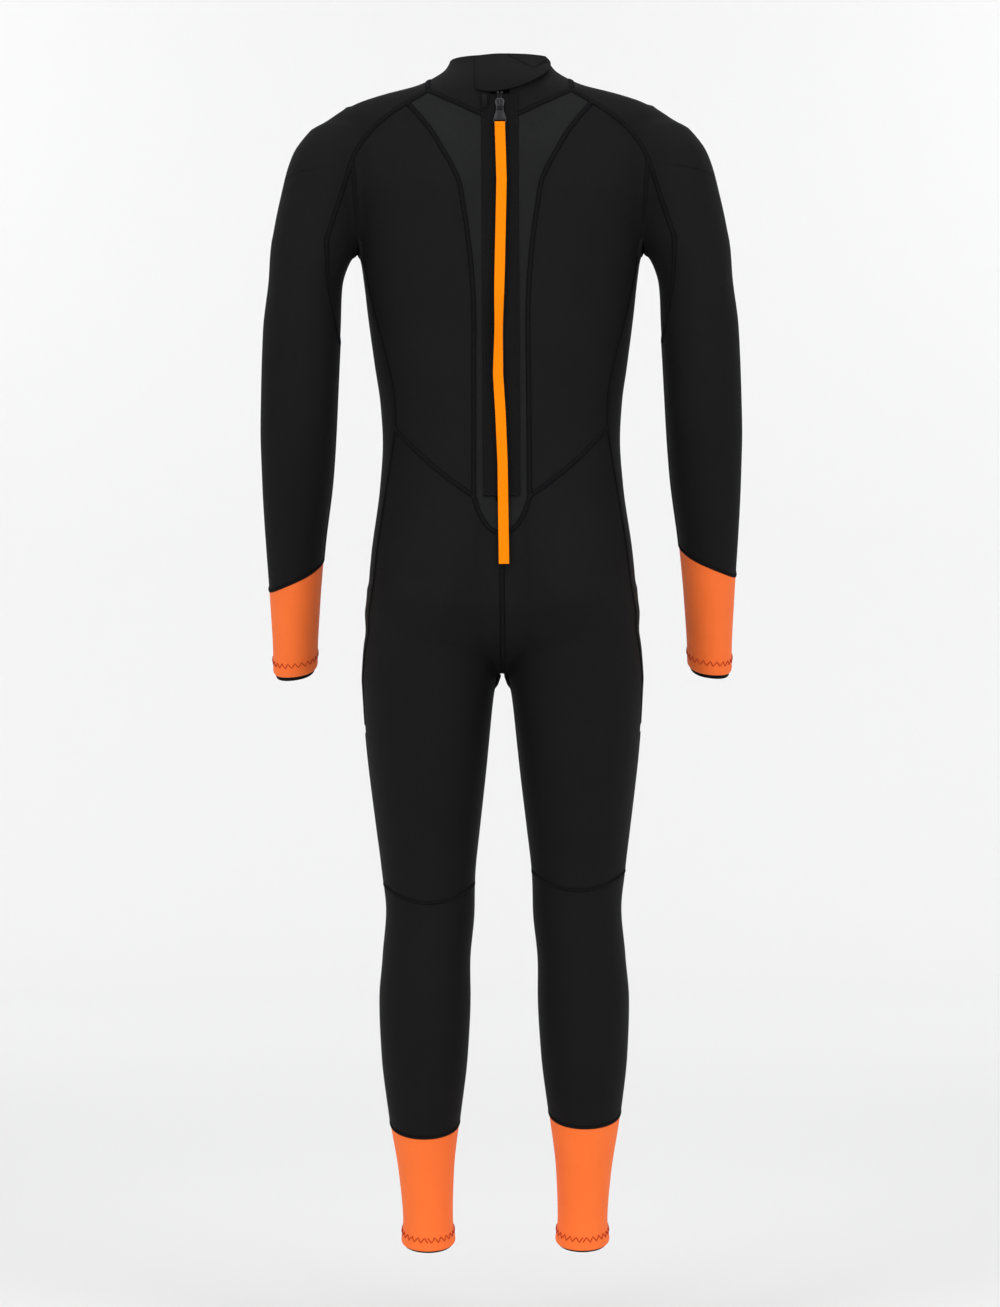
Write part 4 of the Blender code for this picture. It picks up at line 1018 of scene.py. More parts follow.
def zip_panel_grid():
    """Horseshoe round the zip: straight edge and round end at the slit, lyre outline outside."""
    end = ZIP_END - 0.002
    count = 86
    quarter = np.linspace(0, math.pi / 2, 18)

    def straight_then_round(half, top):
        """Down a straight edge at that half width, then a quarter circle to the centre line."""
        turn = np.stack([half * np.cos(quarter), end - half * np.sin(quarter)], -1)
        return chain((np.array([(half, top), (half, end)]), count), (turn, 18))

    raglan = raglan_line(-1, 200)
    outer = chain((raglan[raglan[:, 0] <= PRINCESS[0][0]], 10), (curve(PRINCESS, 200), count - 9),
                  (curve(BACK_POINT[::-1], 60), 18))
    slit = straight_then_round(SLIT_HALF, -0.0815)
    tape = straight_then_round(TAPE_HALF + 0.001, -0.0765)
    share = np.linspace(0, 1, 14)[:, None, None]
    columns = np.vstack([slit[None], tape[None] * (1 - share) + outer[None] * share])
    half = columns.swapaxes(0, 1)
    whole = np.vstack([half, half[-2::-1] * np.array([-1, 1])])
    return lift(whole.reshape(-1, 2), -1).reshape(whole.shape[:2] + (3,))


def back_panel_grid(side):
    """The panel between the princess seam and the side seam, down to the yoke."""
    princess = lift(curve(PRINCESS, 240), -1)[6:]
    raglan = lift(raglan_line(-1, 300), -1)
    raglan = raglan[raglan[:, 0] > PRINCESS[0][0] + 0.003]
    outer = chain((raglan, 28), (armhole(CORNER_TURN, SIDE_START_TURN, 40), 18),
                  (side_line(-1, 0, YOKE_SIDE), 66))
    top = chain((np.array([princess[0], outer[0]]), 34))
    bottom = chain((lift(curve(BACK_YOKE, 120), -1), 34))
    return patch(trunk_polar, trunk_points, chain((princess, 110)), outer, top, bottom)


def side_panel_grid(side):
    """The strip from the armhole to a pointed tail, where the leg's outer seam begins."""
    def edge(face):
        """One long edge of the strip, in even steps above and below the tail's start."""
        return chain((side_line(face, 0, SIDE_TAIL_START), 90),
                     (side_line(face, SIDE_TAIL_START, SIDE_TAIL_END), 34))

    back = edge(-1)
    front = edge(1)
    top = chain((armhole(SIDE_START_TURN, -SIDE_START_TURN, 80), 17))
    tip = leg_points(np.array([OUTSEAM_TOP_TURN]), np.array([SIDE_TAIL_END - SIDE_TAIL_TIP]))[0]
    bottom = chain((np.array([back[-1], tip]), 9), (np.array([tip, front[-1]]), 9))
    return patch(leg_polar, leg_points, back, front, top, bottom)


def front_hip():
    """The front panel's lower seam on the right half, from the side seam to the centre."""
    end = side_line(1, FRONT_YOKE_END, FRONT_YOKE_END - 0.01)[0]
    return lift(curve((FRONT_YOKE + [(end[0], end[2])])[::-1], 120), 1)


def front_panel_grid():
    """The whole front of the trunk: the right edge, its mirror image, the collar seam and the hips."""
    left = chain((lift(raglan_line(1, 200), 1), 40), (armhole(-CORNER_TURN, -SIDE_START_TURN, 60), 16),
                 (side_line(1, 0, FRONT_YOKE_END), 56))
    top = both(chain((lift(curve(COLLAR_FRONT, 120), 1), 32)))
    bottom = both(chain((front_hip(), 32)))
    return patch(trunk_polar, trunk_points, left, left * MIRROR, top, bottom)


def raised(seam, side, rise):
    """A seam's height by angle, lifted on the right side and lowered on the left."""
    return lambda angle: seam(angle) + side * rise


def rear_leg_grid(side):
    """Seat and thigh behind: between centre and inner seam, and side and outer seam."""
    seam = raised(knee_seam, side, KNEE_RISE)
    point = lift(curve(BACK_POINT, 60), -1)
    yoke = lift(curve(BACK_YOKE, 120), -1)
    knee = leg_band(seam, INSEAM, OUTSEAM, 39)
    inner = chain((centre_line(-1, BACK_FORK), 34), (inseam(float(seam(INSEAM))), 80))
    outer = chain((side_line(-1, YOKE_SIDE, SIDE_TAIL_START), 38),
                  (side_line(-1, SIDE_TAIL_START, SIDE_TAIL_END), 34),
                  (outseam(float(seam(OUTSEAM))), 43))
    return leg_patch(leg_polar, inner, outer, chain((point, 12), (yoke, 28)), knee)


def front_leg_grid(side):
    """Thigh in front, from the hip seam down to the knee pad."""
    outer = chain((side_line(1, FRONT_YOKE_END, SIDE_TAIL_START), 22),
                  (side_line(1, SIDE_TAIL_START, SIDE_TAIL_END), 34),
                  (outseam(KNEE_PAD_TOP), 34))
    inner = chain((centre_line(1, FRONT_FORK), 16), (inseam(KNEE_PAD_TOP), 73))
    pad = leg_edge((OUTSEAM, INSEAM + 2 * math.pi), KNEE_PAD_TOP, KNEE_PAD_TOP, 39)
    return leg_patch(leg_polar_front, outer, inner, chain((front_hip(), 39)), pad)


def level(height):
    """A seam at one height all round."""
    return lambda angle: height + 0 * angle


def calf_grid(side):
    """The calf, from the knee seam to the ankle seam, behind the side seams."""
    return tube_grid(leg_points, raised(knee_seam, side, KNEE_RISE), raised(ankle_seam, side, ANKLE_RISE),
                     56, 36, BEHIND)


def knee_pad_grid(side):
    """The knee pad, with five shallow ribs that cross it: proud by a squared sine of the height."""
    grid = tube_grid(leg_points, level(KNEE_PAD_TOP), level(KNEE_PAD_END), 81, 36, AHEAD)
    down = np.linspace(0, 1, 81)[:, None, None]
    across = np.sin(math.pi * np.linspace(0, 1, 36))[None, :, None]
    ribs = np.sin(math.pi * 9 * down) ** 2 * np.minimum(1, across * 2.2)
    return grid + outward(grid) * ribs * 0.0007


def shin_grid(side):
    """The shin, from the knee pad to the ankle seam, ahead of the side seams."""
    return tube_grid(leg_points, level(KNEE_PAD_END), raised(ankle_seam, side, ANKLE_RISE), 30, 36, AHEAD)


def ankle_cuff_grid(side):
    """The orange tube at the ankle."""
    return tube_grid(leg_points, raised(ankle_seam, side, ANKLE_RISE), ankle_hem, 34, 73)


def wrist_cuff_grid(side):
    """The orange tube at the wrist."""
    return tube_grid(arm_points, raised(wrist_seam, side, WRIST_RISE), wrist_hem, 30, 61, ROUND_THE_ARM)


def wrist_lining_grid(side):
    """The black tube inside the wrist cuff, that shows below its hem."""
    inner = tube_grid(arm_points, lambda w: wrist_hem(w) + LINING_DEPTH,
                      lambda w: wrist_hem(w) - CUFF_LINING_DROP, 9, 61, ROUND_THE_ARM)
    return inner - outward(inner) * LINING_INSET


def ankle_lining_grid(side):
    """The black tube inside the ankle cuff, that shows below its hem."""
    inner = tube_grid(leg_points, lambda a: ankle_hem(a) + LINING_DEPTH,
                      lambda a: ankle_hem(a) - ANKLE_LINING_DROP, 9, 73)
    return inner - outward(inner) * LINING_INSET


def collar_grid():
    """The collar, from one edge of the zip round the neck to the other: rim above, neck seam below."""
    back = lift(curve(COLLAR_BACK, 120), -1)
    front = lift(curve(COLLAR_FRONT, 120), 1)
    ridge = sleeve_grid((2, 1, 1, 1), 81)[0]
    seam = chain((back, 24), (ridge, 20), (front, 26))
    height = np.linspace(0, COLLAR_BACK[0][1], 60)
    edge = chain((lift(np.stack([0 * height + COLLAR_BACK[0][0], height], -1), -1), 18))
    rim_angle = np.linspace(math.asin(COLLAR_BACK[0][0] / 0.06), math.pi, 120)
    rim = both(chain((trunk_points(rim_angle, 0 * rim_angle), 68)))
    return patch(trunk_polar, trunk_points, edge, edge * MIRROR, rim, both(seam))


def seam_lines(side):
    """The seams of one half, as points on the right half's surface."""
    wrist = np.linspace(math.pi, -math.pi, 90)
    ankle = np.linspace(0, 2 * math.pi, 90)
    knee = raised(knee_seam, side, KNEE_RISE)
    shin = raised(ankle_seam, side, ANKLE_RISE)
    cuff = raised(wrist_seam, side, WRIST_RISE)
    share = np.linspace(0, 1, 40)
    flank = [arm_points(math.pi - s * (CORNER_TURN + (GUSSET_TURN - CORNER_TURN) * share),
                        np.array([gusset_flank(s, q)[1] for q in share])) for s in (1, -1)]
    tail = [arm_points(math.pi - gusset_tail(s, share)[0], gusset_tail(s, share)[1]) for s in (1, -1)]
    forearm = np.linspace(GUSSET_TIP, float(cuff(math.pi)), 60)
    pads = [leg_points(np.linspace(*AHEAD, 60), np.full(60, h)) for h in (KNEE_PAD_TOP, KNEE_PAD_END)]

    def down_the_leg(upper, turn):
        """A side seam's upper part, then straight down from the knee to the ankle."""
        lower = leg_edge((turn, turn), float(knee(turn)), float(shin(turn)), 40)
        return np.vstack([upper(float(knee(turn))), lower[1:]])

    return {
        "princess": lift(curve(PRINCESS, 160), -1),
        "raglan_back": lift(raglan_line(-1, 120), -1),
        "raglan_front": lift(raglan_line(1, 120), 1),
        "yoke": lift(curve(BACK_YOKE, 60), -1),
        "point": lift(curve(BACK_POINT, 40), -1),
        "armhole": armhole(CORNER_TURN, -CORNER_TURN, 90),
        "gusset_back": np.vstack([flank[0], tail[0][1:]]),
        "gusset_front": np.vstack([flank[1], tail[1][1:]]),
        "underarm": arm_points(math.pi + 0 * forearm, forearm),
        "side_back": side_line(-1, 0, SIDE_TAIL_END),
        "side_front": side_line(1, 0, SIDE_TAIL_END),
        "hip_front": front_hip(),
        "outseam": down_the_leg(outseam, OUTSEAM),
        "inseam": down_the_leg(inseam, INSEAM),
        "knee": leg_band(knee, *BEHIND, 60),
        "pad_top": pads[0],
        "pad_end": pads[1],
        "ankle": leg_points(ankle, shin(ankle)),
        "wrist": arm_points(wrist, cuff(wrist)),
    }


# ---- stitching ----

def even(line, spacing):
    """The line resampled at about that spacing, with its unit directions, normals and crossings."""
    line = np.asarray(line)
    at = np.r_[0, np.cumsum(np.linalg.norm(np.diff(line, axis=0), axis=1))]
    q = np.linspace(0, at[-1], max(4, int(at[-1] / spacing)))
    centre = np.stack([np.interp(q, at, c) for c in line.T], -1)
    along = np.gradient(centre, axis=0)
    along = along / (np.linalg.norm(along, axis=-1, keepdims=True) + 1e-12)
    normal = outward(centre)
    across = np.cross(normal, along)
    return centre, along, normal, across / (np.linalg.norm(across, axis=-1, keepdims=True) + 1e-12)


def flat_band(line, wide):
    """The pressed ribbon of cover threads over a flatlock seam: a very flat eight-sided tube."""
    centre, _, normal, across = even(line, 0.004)
    return capped(*tube(centre + normal * 0.00005, wide / 2, 0.00045, across, 8), 8)


def dashes(starts, ends, normals, thick, proud):
    """Single stitches from each start to each end, arched by proud half way, all in one mesh."""
    middle = (starts + ends) / 2 + normals * proud
    way = ends - starts
    side = np.cross(normals, way)
    side = side / (np.linalg.norm(side, axis=-1, keepdims=True) + 1e-12)
    ring = [side * thick, normals * thick, -side * thick, -normals * thick]
    points = np.stack([p + r for p in (starts, middle, ends) for r in ring], 1)
    k = np.arange(4)
    m = (k + 1) % 4
    walls = [np.stack([4 * j + k, 4 * j + m, 4 * j + 4 + m, 4 * j + 4 + k], -1) for j in (0, 1)]
    one = np.vstack(walls + [[[3, 2, 1, 0]], [[8, 9, 10, 11]]])
    faces = one[None] + 12 * np.arange(len(starts))[:, None, None]
    return points.reshape(-1, 3), faces.reshape(-1, 4)


def dotted(line):
    """A row of running stitches on the line."""
    centre, along, normal, _ = even(line, DASH_PITCH)
    way = along * DASH_LENGTH / 2
    return dashes(centre - way, centre + way, normal, DASH_THICK, DASH_PROUD)


def hem_stitching():
    """Zigzag round every cuff, 15.0 mm above the wrist's hem and 13.5 mm above the ankle's."""
    w = np.linspace(math.pi, -math.pi, 120)
    a = np.linspace(0, 2 * math.pi, 140)
    rows = [stitched(arm_points(w, wrist_hem(w) + 0.0150), HEM_WIDTH, HEM_PITCH, HEM_THREAD),
            stitched(leg_points(a, ankle_hem(a) + 0.0135), HEM_WIDTH, HEM_PITCH, HEM_THREAD)]
    points, faces = gather(rows)
    return gather([(points, faces), (points * MIRROR, faces[:, ::-1])])


# ---- collar flap ----

def flap_patch(left, right, top, bottom, rows, columns, proud):
    """A patch on the collar's back from (x, height) edges, standing proud of the collar."""
    edges = [lift(curve(e, 60), -1) for e in (left, right, top, bottom)]
    centred = [np.stack([np.arctan2(e[:, 0], -e[:, 1]), e[:, 2]], -1) for e in edges]
    grid = coons(*[spread(e, n) for e, n in zip(centred, (rows, rows, columns, columns))])
    points = trunk_points(grid[..., 0], grid[..., 1])
    return points + outward(points) * np.asarray(proud)[..., None]


def flap_grid(rows, columns):
    """The collar's flap: 2.6 mm proud at its root, and 6.5 mm from a third of its length on."""
    root = [(FLAP_ROOT_X, -0.002), (FLAP_ROOT_X, -0.020), (FLAP_ROOT_X, -0.046)]
    tip = [(0.0520, -0.002), (0.0585, -0.010), (0.0610, -0.022)]
    top = [root[0], (0.010, -0.002), tip[0]]
    lower = [root[-1], (-0.010, -0.0495), (0.0050, -0.0475), (0.0345, -0.0395), (0.0493, -0.0325), tip[-1]]
    share = np.clip(np.linspace(0, 1, columns) / 0.34, 0, 1)
    proud = 0.0026 + 0.0039 * share * share * (3 - 2 * share)
    return flap_patch(root, tip, top, lower, rows, columns, proud)


def pad_grid(rows, columns, proud):
    """A four-sided pad under the flap, at that height above the collar."""
    low = [(0.016, -0.032), (0.036, -0.033), (0.048, -0.026)]
    top = [(0.016, -0.008), (0.034, -0.008), (0.048, -0.008)]
    left = [top[0], (0.016, -0.020), low[0]]
    right = [top[-1], (0.048, -0.017), low[-1]]
    return flap_patch(left, right, top, low, rows, columns, proud)


def on_flap(points, proud=0.0066):
    """A straight line of (x, height) points, laid on the flap's outer face."""
    lifted = lift(chain((np.array(points, float), 40)), -1)
    return lifted + outward(lifted) * proud


def flap_stitching():
    """Zigzag that holds the hook pad, in a V across the flap, and the row along the flap's edges."""
    vee = on_flap([(0.0093, -0.0040), (0.0405, -0.0223)])
    arm_of_vee = on_flap([(0.0405, -0.0223), (0.0535, -0.0100)])
    root = on_flap([(-0.0276, -0.0050), (-0.0276, -0.0440)], 0.0029)
    low = on_flap([(0.0050, -0.0448), (0.0330, -0.0372)])
    rows = [stitched(line, 0.0034, 0.0030, thread=0.00036) for line in (vee, arm_of_vee)]
    return gather(rows + [dotted(line) for line in (root, low)])


# ---- zip, in a frame that leans with the back: local -Y outwards, local Z along the chain ----

LEAN = math.atan(ZIP_SLOPE)
ZIP_LENGTH = (ZIP_TOP - ZIP_END) * math.hypot(1, ZIP_SLOPE)


def zip_world(points):
    """From the zip's leaning frame to the suit's: a turn by LEAN about X, then a shift to the zip's top."""
    x, y, z = np.moveaxis(np.asarray(points, float), -1, 0)
    c = math.cos(LEAN)
    s = math.sin(LEAN)
    return np.stack([x, ZIP_Y + y * c + z * s, ZIP_TOP - y * s + z * c], -1)


def tape_grid(side):
    """A zip tape on the panel: its edge by the coil lies flat, the sewn edge is drawn in by stitches."""
    z = np.linspace(ZIP_TOP, ZIP_END, 150)
    x = np.linspace(0.0040, 0.0226, 11)
    across, down = np.meshgrid(x, z)
    flat = lift(np.stack([across, down], -1).reshape(-1, 2), -1).reshape(across.shape + (3,))
    sewn = np.exp(-((across - TAPE_STITCH_X) / 0.0011) ** 2)
    ripple = 0.00018 * np.sin(down * 2 * math.pi / 0.031) * (across - 0.004) / 0.018
    grid = flat + outward(flat) * (0.0013 - 0.0005 * sewn + ripple)[..., None]
    return grid if side > 0 else grid[:, ::-1] * MIRROR


def coil(side):
    """One half of the coil: x = 1.9 + 1.7 cos t, y = -1.0 - 0.9 sin t mm, one pitch down a turn."""
    count = int(ZIP_LENGTH / COIL_PITCH)
    t = np.linspace(0, count * 2 * math.pi, count * COIL_STEPS + 1)
    x = side * (0.0019 + 0.0017 * np.cos(t + (0 if side > 0 else math.pi)))
    y = -0.0010 - 0.0009 * np.sin(t)
    path = zip_world(np.stack([x, y, -t / t[-1] * ZIP_LENGTH], -1))
    along = zip_world(np.array([[0, 0, 1.0]])) - zip_world(np.array([[0, 0, 0.0]]))
    return capped(*tube(path, 0.00044, 0.00044, np.repeat(along, len(path), 0), 6), 6)


def pillow(outline, rings):
    """A cushion-shaped solid: the (x, z) outline shrunk to each ring's share at each ring's local y."""
    outline = np.array(outline)
    middle = outline.mean(0)
    layers = []
    for share, y in rings:
        ring = middle + (outline - middle) * share
        layers.append(np.stack([ring[:, 0], np.full(len(ring), y), ring[:, 1]], -1))
    sides = len(outline)
    k = np.arange(sides)
    m = (k + 1) % sides
    walls = [np.stack([j * sides + k, j * sides + m, (j + 1) * sides + m, (j + 1) * sides + k], -1)
             for j in range(len(rings) - 1)]
    return capped(np.vstack(layers), np.vstack(walls), sides)


def rounded(keys, count):
    """A closed loop through the right half's (x, z) keys and their mirror images, count per half."""
    half = curve(keys, count)
    return np.vstack([half, half[::-1] * np.array([-1, 1])])


def placed(part, shift):
    """Moves points by a shift in the zip's frame and brings them into the suit's."""
    return zip_world(part[0] + np.array(shift)), part[1]


def stop_clip(side):
    """A crimped metal clip round the coil's top end."""
    x = 0.0022 + 0.0017 * np.cos(np.arange(12) * math.pi / 6)
    z = 0.0019 + 0.0016 * np.sin(np.arange(12) * math.pi / 6)
    rings = ((0.7, -0.0025), (1.0, -0.0021), (1.0, 0.0002), (0.7, 0.0004))
    points, faces = placed(pillow(np.stack([x, z], -1), rings), (0, 0, 0))
    return (points, faces) if side > 0 else (points * MIRROR, faces[:, ::-1])


def slider_body():
    """Two shield-shaped plates, the post between them and an arched bridge."""
    shield = rounded([(0.0012, 0.0075), (0.0046, 0.0066), (0.0060, 0.0042), (0.0056, 0.0), (0.0047, -0.0040),
                      (0.0040, -0.0075)], 14)
    outer = pillow(shield, ((0.6, -0.0044), (0.9, -0.0042), (1.0, -0.0036), (1.0, -0.0024), (0.94, -0.0022)))
    inner = pillow(shield, ((0.9, 0.0008), (1.0, 0.0010), (1.0, 0.0018), (0.92, 0.0021)))
    post = pillow(rounded([(0.0004, 0.0066), (0.0009, 0.0058), (0.0005, 0.0050)], 5),
                  ((0.9, -0.0026), (1.0, -0.0020), (1.0, 0.0008), (0.9, 0.0012)))
    z = np.linspace(-0.0052, 0.0052, 17)
    arch = np.stack([0 * z, -0.0038 - 0.0048 * np.sqrt(np.clip(1 - (z / 0.0054) ** 2, 0, 1)), z], -1)
    bridge = capped(*tube(arch, 0.0012, 0.0006, np.tile([1.0, 0, 0], (17, 1)), 8), 8)
    return gather([placed(p, (0, 0, SLIDER_REST)) for p in (outer, inner, post, bridge)])


def pull_ring():
    """The tab: a wire loop from the bridge to the strap, with a plate across its upper half."""
    loop = rounded([(0.0006, 0.0002), (0.0032, -0.0006), (0.0040, -0.0060), (0.0068, -0.0145),
                    (0.0070, -0.0205), (0.0052, -0.0222), (0.0006, -0.0224)], 26)
    path = np.stack([loop[:, 0], 0 * loop[:, 0], loop[:, 1]], -1)
    wire = tube(path, 0.00075, 0.00080, np.tile([0, 1.0, 0], (len(path), 1)), 8, closed=True)
    plate = pillow(rounded([(0.0006, -0.0060), (0.0038, -0.0064), (0.0056, -0.0120), (0.0066, -0.0168),
                            (0.0060, -0.0178), (0.0006, -0.0179)], 12),
                   ((0.92, -0.0007), (1.0, -0.0005), (1.0, 0.0005), (0.92, 0.0007)))
    return gather([placed(p, (0, TAB_PIVOT[0], SLIDER_REST + TAB_PIVOT[1])) for p in (wire, plate)])


def zip_stitching():
    """Running stitches by both tapes' sewn edges, and a bartack across each tape's lower end."""
    z = np.linspace(ZIP_TOP - 0.003, ZIP_END + 0.005, 160)
    rows = []
    for x in (-TAPE_STITCH_X, TAPE_STITCH_X):
        line = lift(np.stack([0 * z + abs(x), z], -1), -1) * (MIRROR if x < 0 else 1)
        raised_line = line + outward(line) * 0.0010
        rows.append(dotted(raised_line))
        tack = np.array([(x + math.copysign(s, -x), -0.5465) for s in (0.0015, 0.0105)])
        tack = lift(np.abs(tack) * np.array([1, -1]), -1) * (MIRROR if x < 0 else 1)
        rows.append(stitched(tack + outward(tack) * 0.0012, 0.0036, 0.0011))
    return gather(rows)


def keeper_grid():
    """A loop of tape beside the zip: flat at its sewn ends and bowed by 3 mm between them."""
    t = np.linspace(0, 1, 33)[:, None]
    x = KEEPER_X + np.linspace(-0.5, 0.5, 7)[None] * KEEPER_WIDTH
    crown = 0.0002 * np.cos(math.pi * (x - KEEPER_X) / KEEPER_WIDTH)
    y = -0.0022 - KEEPER_BOW * np.sin(math.pi * t) - crown
    z = KEEPER_TOP - KEEPER_LENGTH * t + 0 * x
    return zip_world(np.stack([x + 0 * t, y, z], -1)[:, ::-1])[:, ::-1]


def strap():
    """Webbing from its tail behind the tab, round the end bar and down the back, a little twisted.

    Its sideways drift, twist and lift are given by the length below the bar; the twist is two bell curves.
    """
    around = np.linspace(0, math.pi, 12)
    loop = np.stack([0.0020 * np.cos(around), 0.0020 * np.sin(around)], -1)
    tail = curve([(0.0010, -0.0150), (0.0010, -0.0085), (0.0016, -0.0030), (0.0020, -0.0006)], 12)
    low = np.linspace(0.014, STRAP_LENGTH, 190)
    main = np.vstack([[(-0.0016, -0.0030), (-0.0009, -0.0085)], np.stack([0 * low - 0.0007, -low], -1)])
    side_view = np.vstack([tail, loop, main])
    down = np.clip(-side_view[:, 1], 0, None) * (np.arange(len(side_view)) >= 24)
    drift = np.interp(down, *np.array(STRAP_DRIFT).T)
    turn = 0.62 * np.exp(-((down - 0.255) / 0.055) ** 2) - 0.20 * np.exp(-((down - 0.43) / 0.05) ** 2)
    away = -0.0024 * np.exp(-((down - 0.255) / 0.075) ** 2) - 0.0008 * np.sin(down * 19) ** 2
    share = np.linspace(-0.5, 0.5, 7)[None] * STRAP_WIDTH
    x = drift[:, None] + share * np.cos(turn)[:, None]
    y = (side_view[:, 0] + away)[:, None] + share * np.sin(turn)[:, None]
    z = np.repeat(side_view[:, 1:], 7, 1)
    shift = np.array([0, TAB_PIVOT[0], SLIDER_REST + TAB_PIVOT[1] + STRAP_PIVOT])
    grid = zip_world(np.stack([x, y, z], -1) + shift)
    return grid[24:, 3], grid_mesh("strap_webbing", grid)


# ---- stage ----

def backdrop(low):
    """Floor that turns up into a wall: level, a quarter circle of radius 1.2 m, then upright."""
    turn = np.linspace(0, math.pi / 2, 24)
    away = BEND_START + BEND_RADIUS * np.sin(turn)
    height = low + BEND_RADIUS - BEND_RADIUS * np.cos(turn)
    bend = np.stack([away, height], -1)
    line = np.vstack([[(FLOOR_NEAR, low)], bend, [(BEND_START + BEND_RADIUS, WALL_TOP)]])
    x = np.tile([-HALF_WALL, HALF_WALL], (len(line), 1))
    grid = np.stack([x, np.repeat(line[:, :1], 2, 1), np.repeat(line[:, 1:], 2, 1)], -1)
    made = bpy.data.objects.new("backdrop", grid_mesh("backdrop", grid[::-1]))
    bpy.context.scene.collection.objects.link(made)
    paper, _, _ = nodes_of("backdrop_paper", PAPER_WHITE, 0.95, specular=0.05)
    made.data.materials.append(paper)


def soft_box(name, place, aim, size, power):
    """A square area light at place that points at aim."""
    data = bpy.data.lights.new(name, "AREA")
    data.size = size
    data.energy = power
    lamp = bpy.data.objects.new(name, data)
    lamp.location = place
    way = np.array(aim, float) - np.array(place, float)
    lamp.rotation_euler = (math.atan2(math.hypot(way[0], way[1]), -way[2]), 0, math.atan2(-way[0], way[1]))
    bpy.context.scene.collection.objects.link(lamp)


# ---- settings ----

class WetsuitSettings(bpy.types.PropertyGroup):
    """Sizes and colours of the suit's soft parts"""
    groove: bpy.props.FloatProperty(
        name="Seam groove", description="How far a panel's cut edge rolls inwards",
        default=0.0011, unit="LENGTH")
    band_width: bpy.props.FloatProperty(
        name="Flatlock width", description="Width of a seam's stitched band",
        default=0.0062, unit="LENGTH")
    stitch_pitch: bpy.props.FloatProperty(
        name="Stitch pitch", description="Distance between flatlock stitches",
        default=0.0026, unit="LENGTH")
    black: bpy.props.FloatVectorProperty(
        name="Black neoprene", description="Colour of the main panels",
        default=(0.0062, 0.0062, 0.0068), subtype="COLOR", size=3)
    # Lighter and slightly greener than the black panels; the lighter tone also paints in the broad soft
    # sheen highlight down the middle of the back.
    centre: bpy.props.FloatVectorProperty(
        name="Zip panel", description="Colour of the panel round the zip",
        default=(0.0110, 0.0120, 0.0112), subtype="COLOR", size=3)
    cuff: bpy.props.FloatVectorProperty(
        name="Cuff neoprene", description="Colour of the wrist and ankle cuffs",
        default=(1.0, 0.175, 0.032), subtype="COLOR", size=3)
    strap: bpy.props.FloatVectorProperty(
        name="Strap webbing", description="Colour of the zip's pull strap",
        default=(1.0, 0.235, 0.0), subtype="COLOR", size=3)
    thread: bpy.props.FloatVectorProperty(
        name="Seam thread", description="Colour of the thread on black seams",
        default=(0.0045, 0.0045, 0.0050), subtype="COLOR", size=3)


class StageSettings(bpy.types.PropertyGroup):
    """Camera, floor and light"""
    distance: bpy.props.FloatProperty(
        name="Camera distance", description="From the camera to the suit's middle",
        default=5.0, unit="LENGTH")
    lens: bpy.props.FloatProperty(
        name="Lens", description="Focal length in millimetres",
        default=110.0)
    roll: bpy.props.FloatProperty(
        name="Camera roll", description="Turn about the line of sight",
        default=0.005, subtype="ANGLE")
    drop: bpy.props.FloatProperty(
        name="Floor drop", description="Gap from the ankle hems to the floor",
        default=0.14, unit="LENGTH")
    key: bpy.props.FloatProperty(
        name="Key light", description="Power of each front soft box",
        default=49.0)


def finishes():
    """The suit's materials by name, made once."""
    suit = bpy.context.scene.wetsuit
    wanted = {
        "black_neoprene": lambda n: jersey(n, suit.black),
        "side_neoprene": lambda n: jersey(n, tinted(suit.black, 1.25)),
        # The zip panel's lighter base colour is partly its own tone and partly a painted highlight: the
        # broad soft sheen down the middle of the back.
        "centre_neoprene": lambda n: jersey(n, suit.centre, rib=0.0016, depth=0.00014, mottle=0.25),
        "knee_rubber": lambda n: moulded(n, tinted(suit.black, 0.9), 0.62, 0.0012, 0.00015, specular=0.06),
        "orange_neoprene": lambda n: jersey(n, suit.cuff, sheen=0.08, specular=0.15, mottle=0.06),
        "black_jersey": lambda n: jersey(n, tinted(suit.black, 0.7), rib=0.0009),
        "seam_band": lambda n: woven(n, tinted(suit.thread, 0.75), 0.0009, 0.0009, 0.0001),
        "black_thread": lambda n: woven(n, tinted(suit.thread, 3.4), 0.0005, 0.0005, 0.00005),
        "orange_thread": lambda n: woven(n, HEM_ORANGE, 0.0005, 0.0005, 0.00005),
        "zip_tape": lambda n: woven(n, TAPE_BLACK, 0.0008, 0.0016),
        "zip_coil": lambda n: moulded(n, COIL_BLACK, 0.42, 0.0008, 0.00003, specular=0.5),
        "slider_metal": lambda n: metal(n, ZINC_GREY, 0.36),
        "webbing": lambda n: woven(n, suit.strap, 0.0016, 0.0011, 0.00022, mottle=0.07),
        "hook_face": lambda n: moulded(n, PAD_BLACK, 0.55, 0.0011, 0.0003, specular=0.1),
        "loop_face": lambda n: moulded(n, PAD_BLACK, 0.9, 0.0009, 0.0003, specular=0.1),
    }
    return lambda name: bpy.data.materials.get(name + "_finish") or wanted[name](name + "_finish")


class WetsuitOperator:
    """What the piece operators share: undo, and an error when nothing could be made"""
    bl_options = {"REGISTER", "UNDO"}

    def execute(self, context):
        """Makes the pieces, and raises an error when none came."""
        before = len(bpy.data.objects)
        self.make(context.scene.wetsuit, finishes())
        if len(bpy.data.objects) == before:
            raise RuntimeError(self.bl_label + " made nothing")
        return {"FINISHED"}


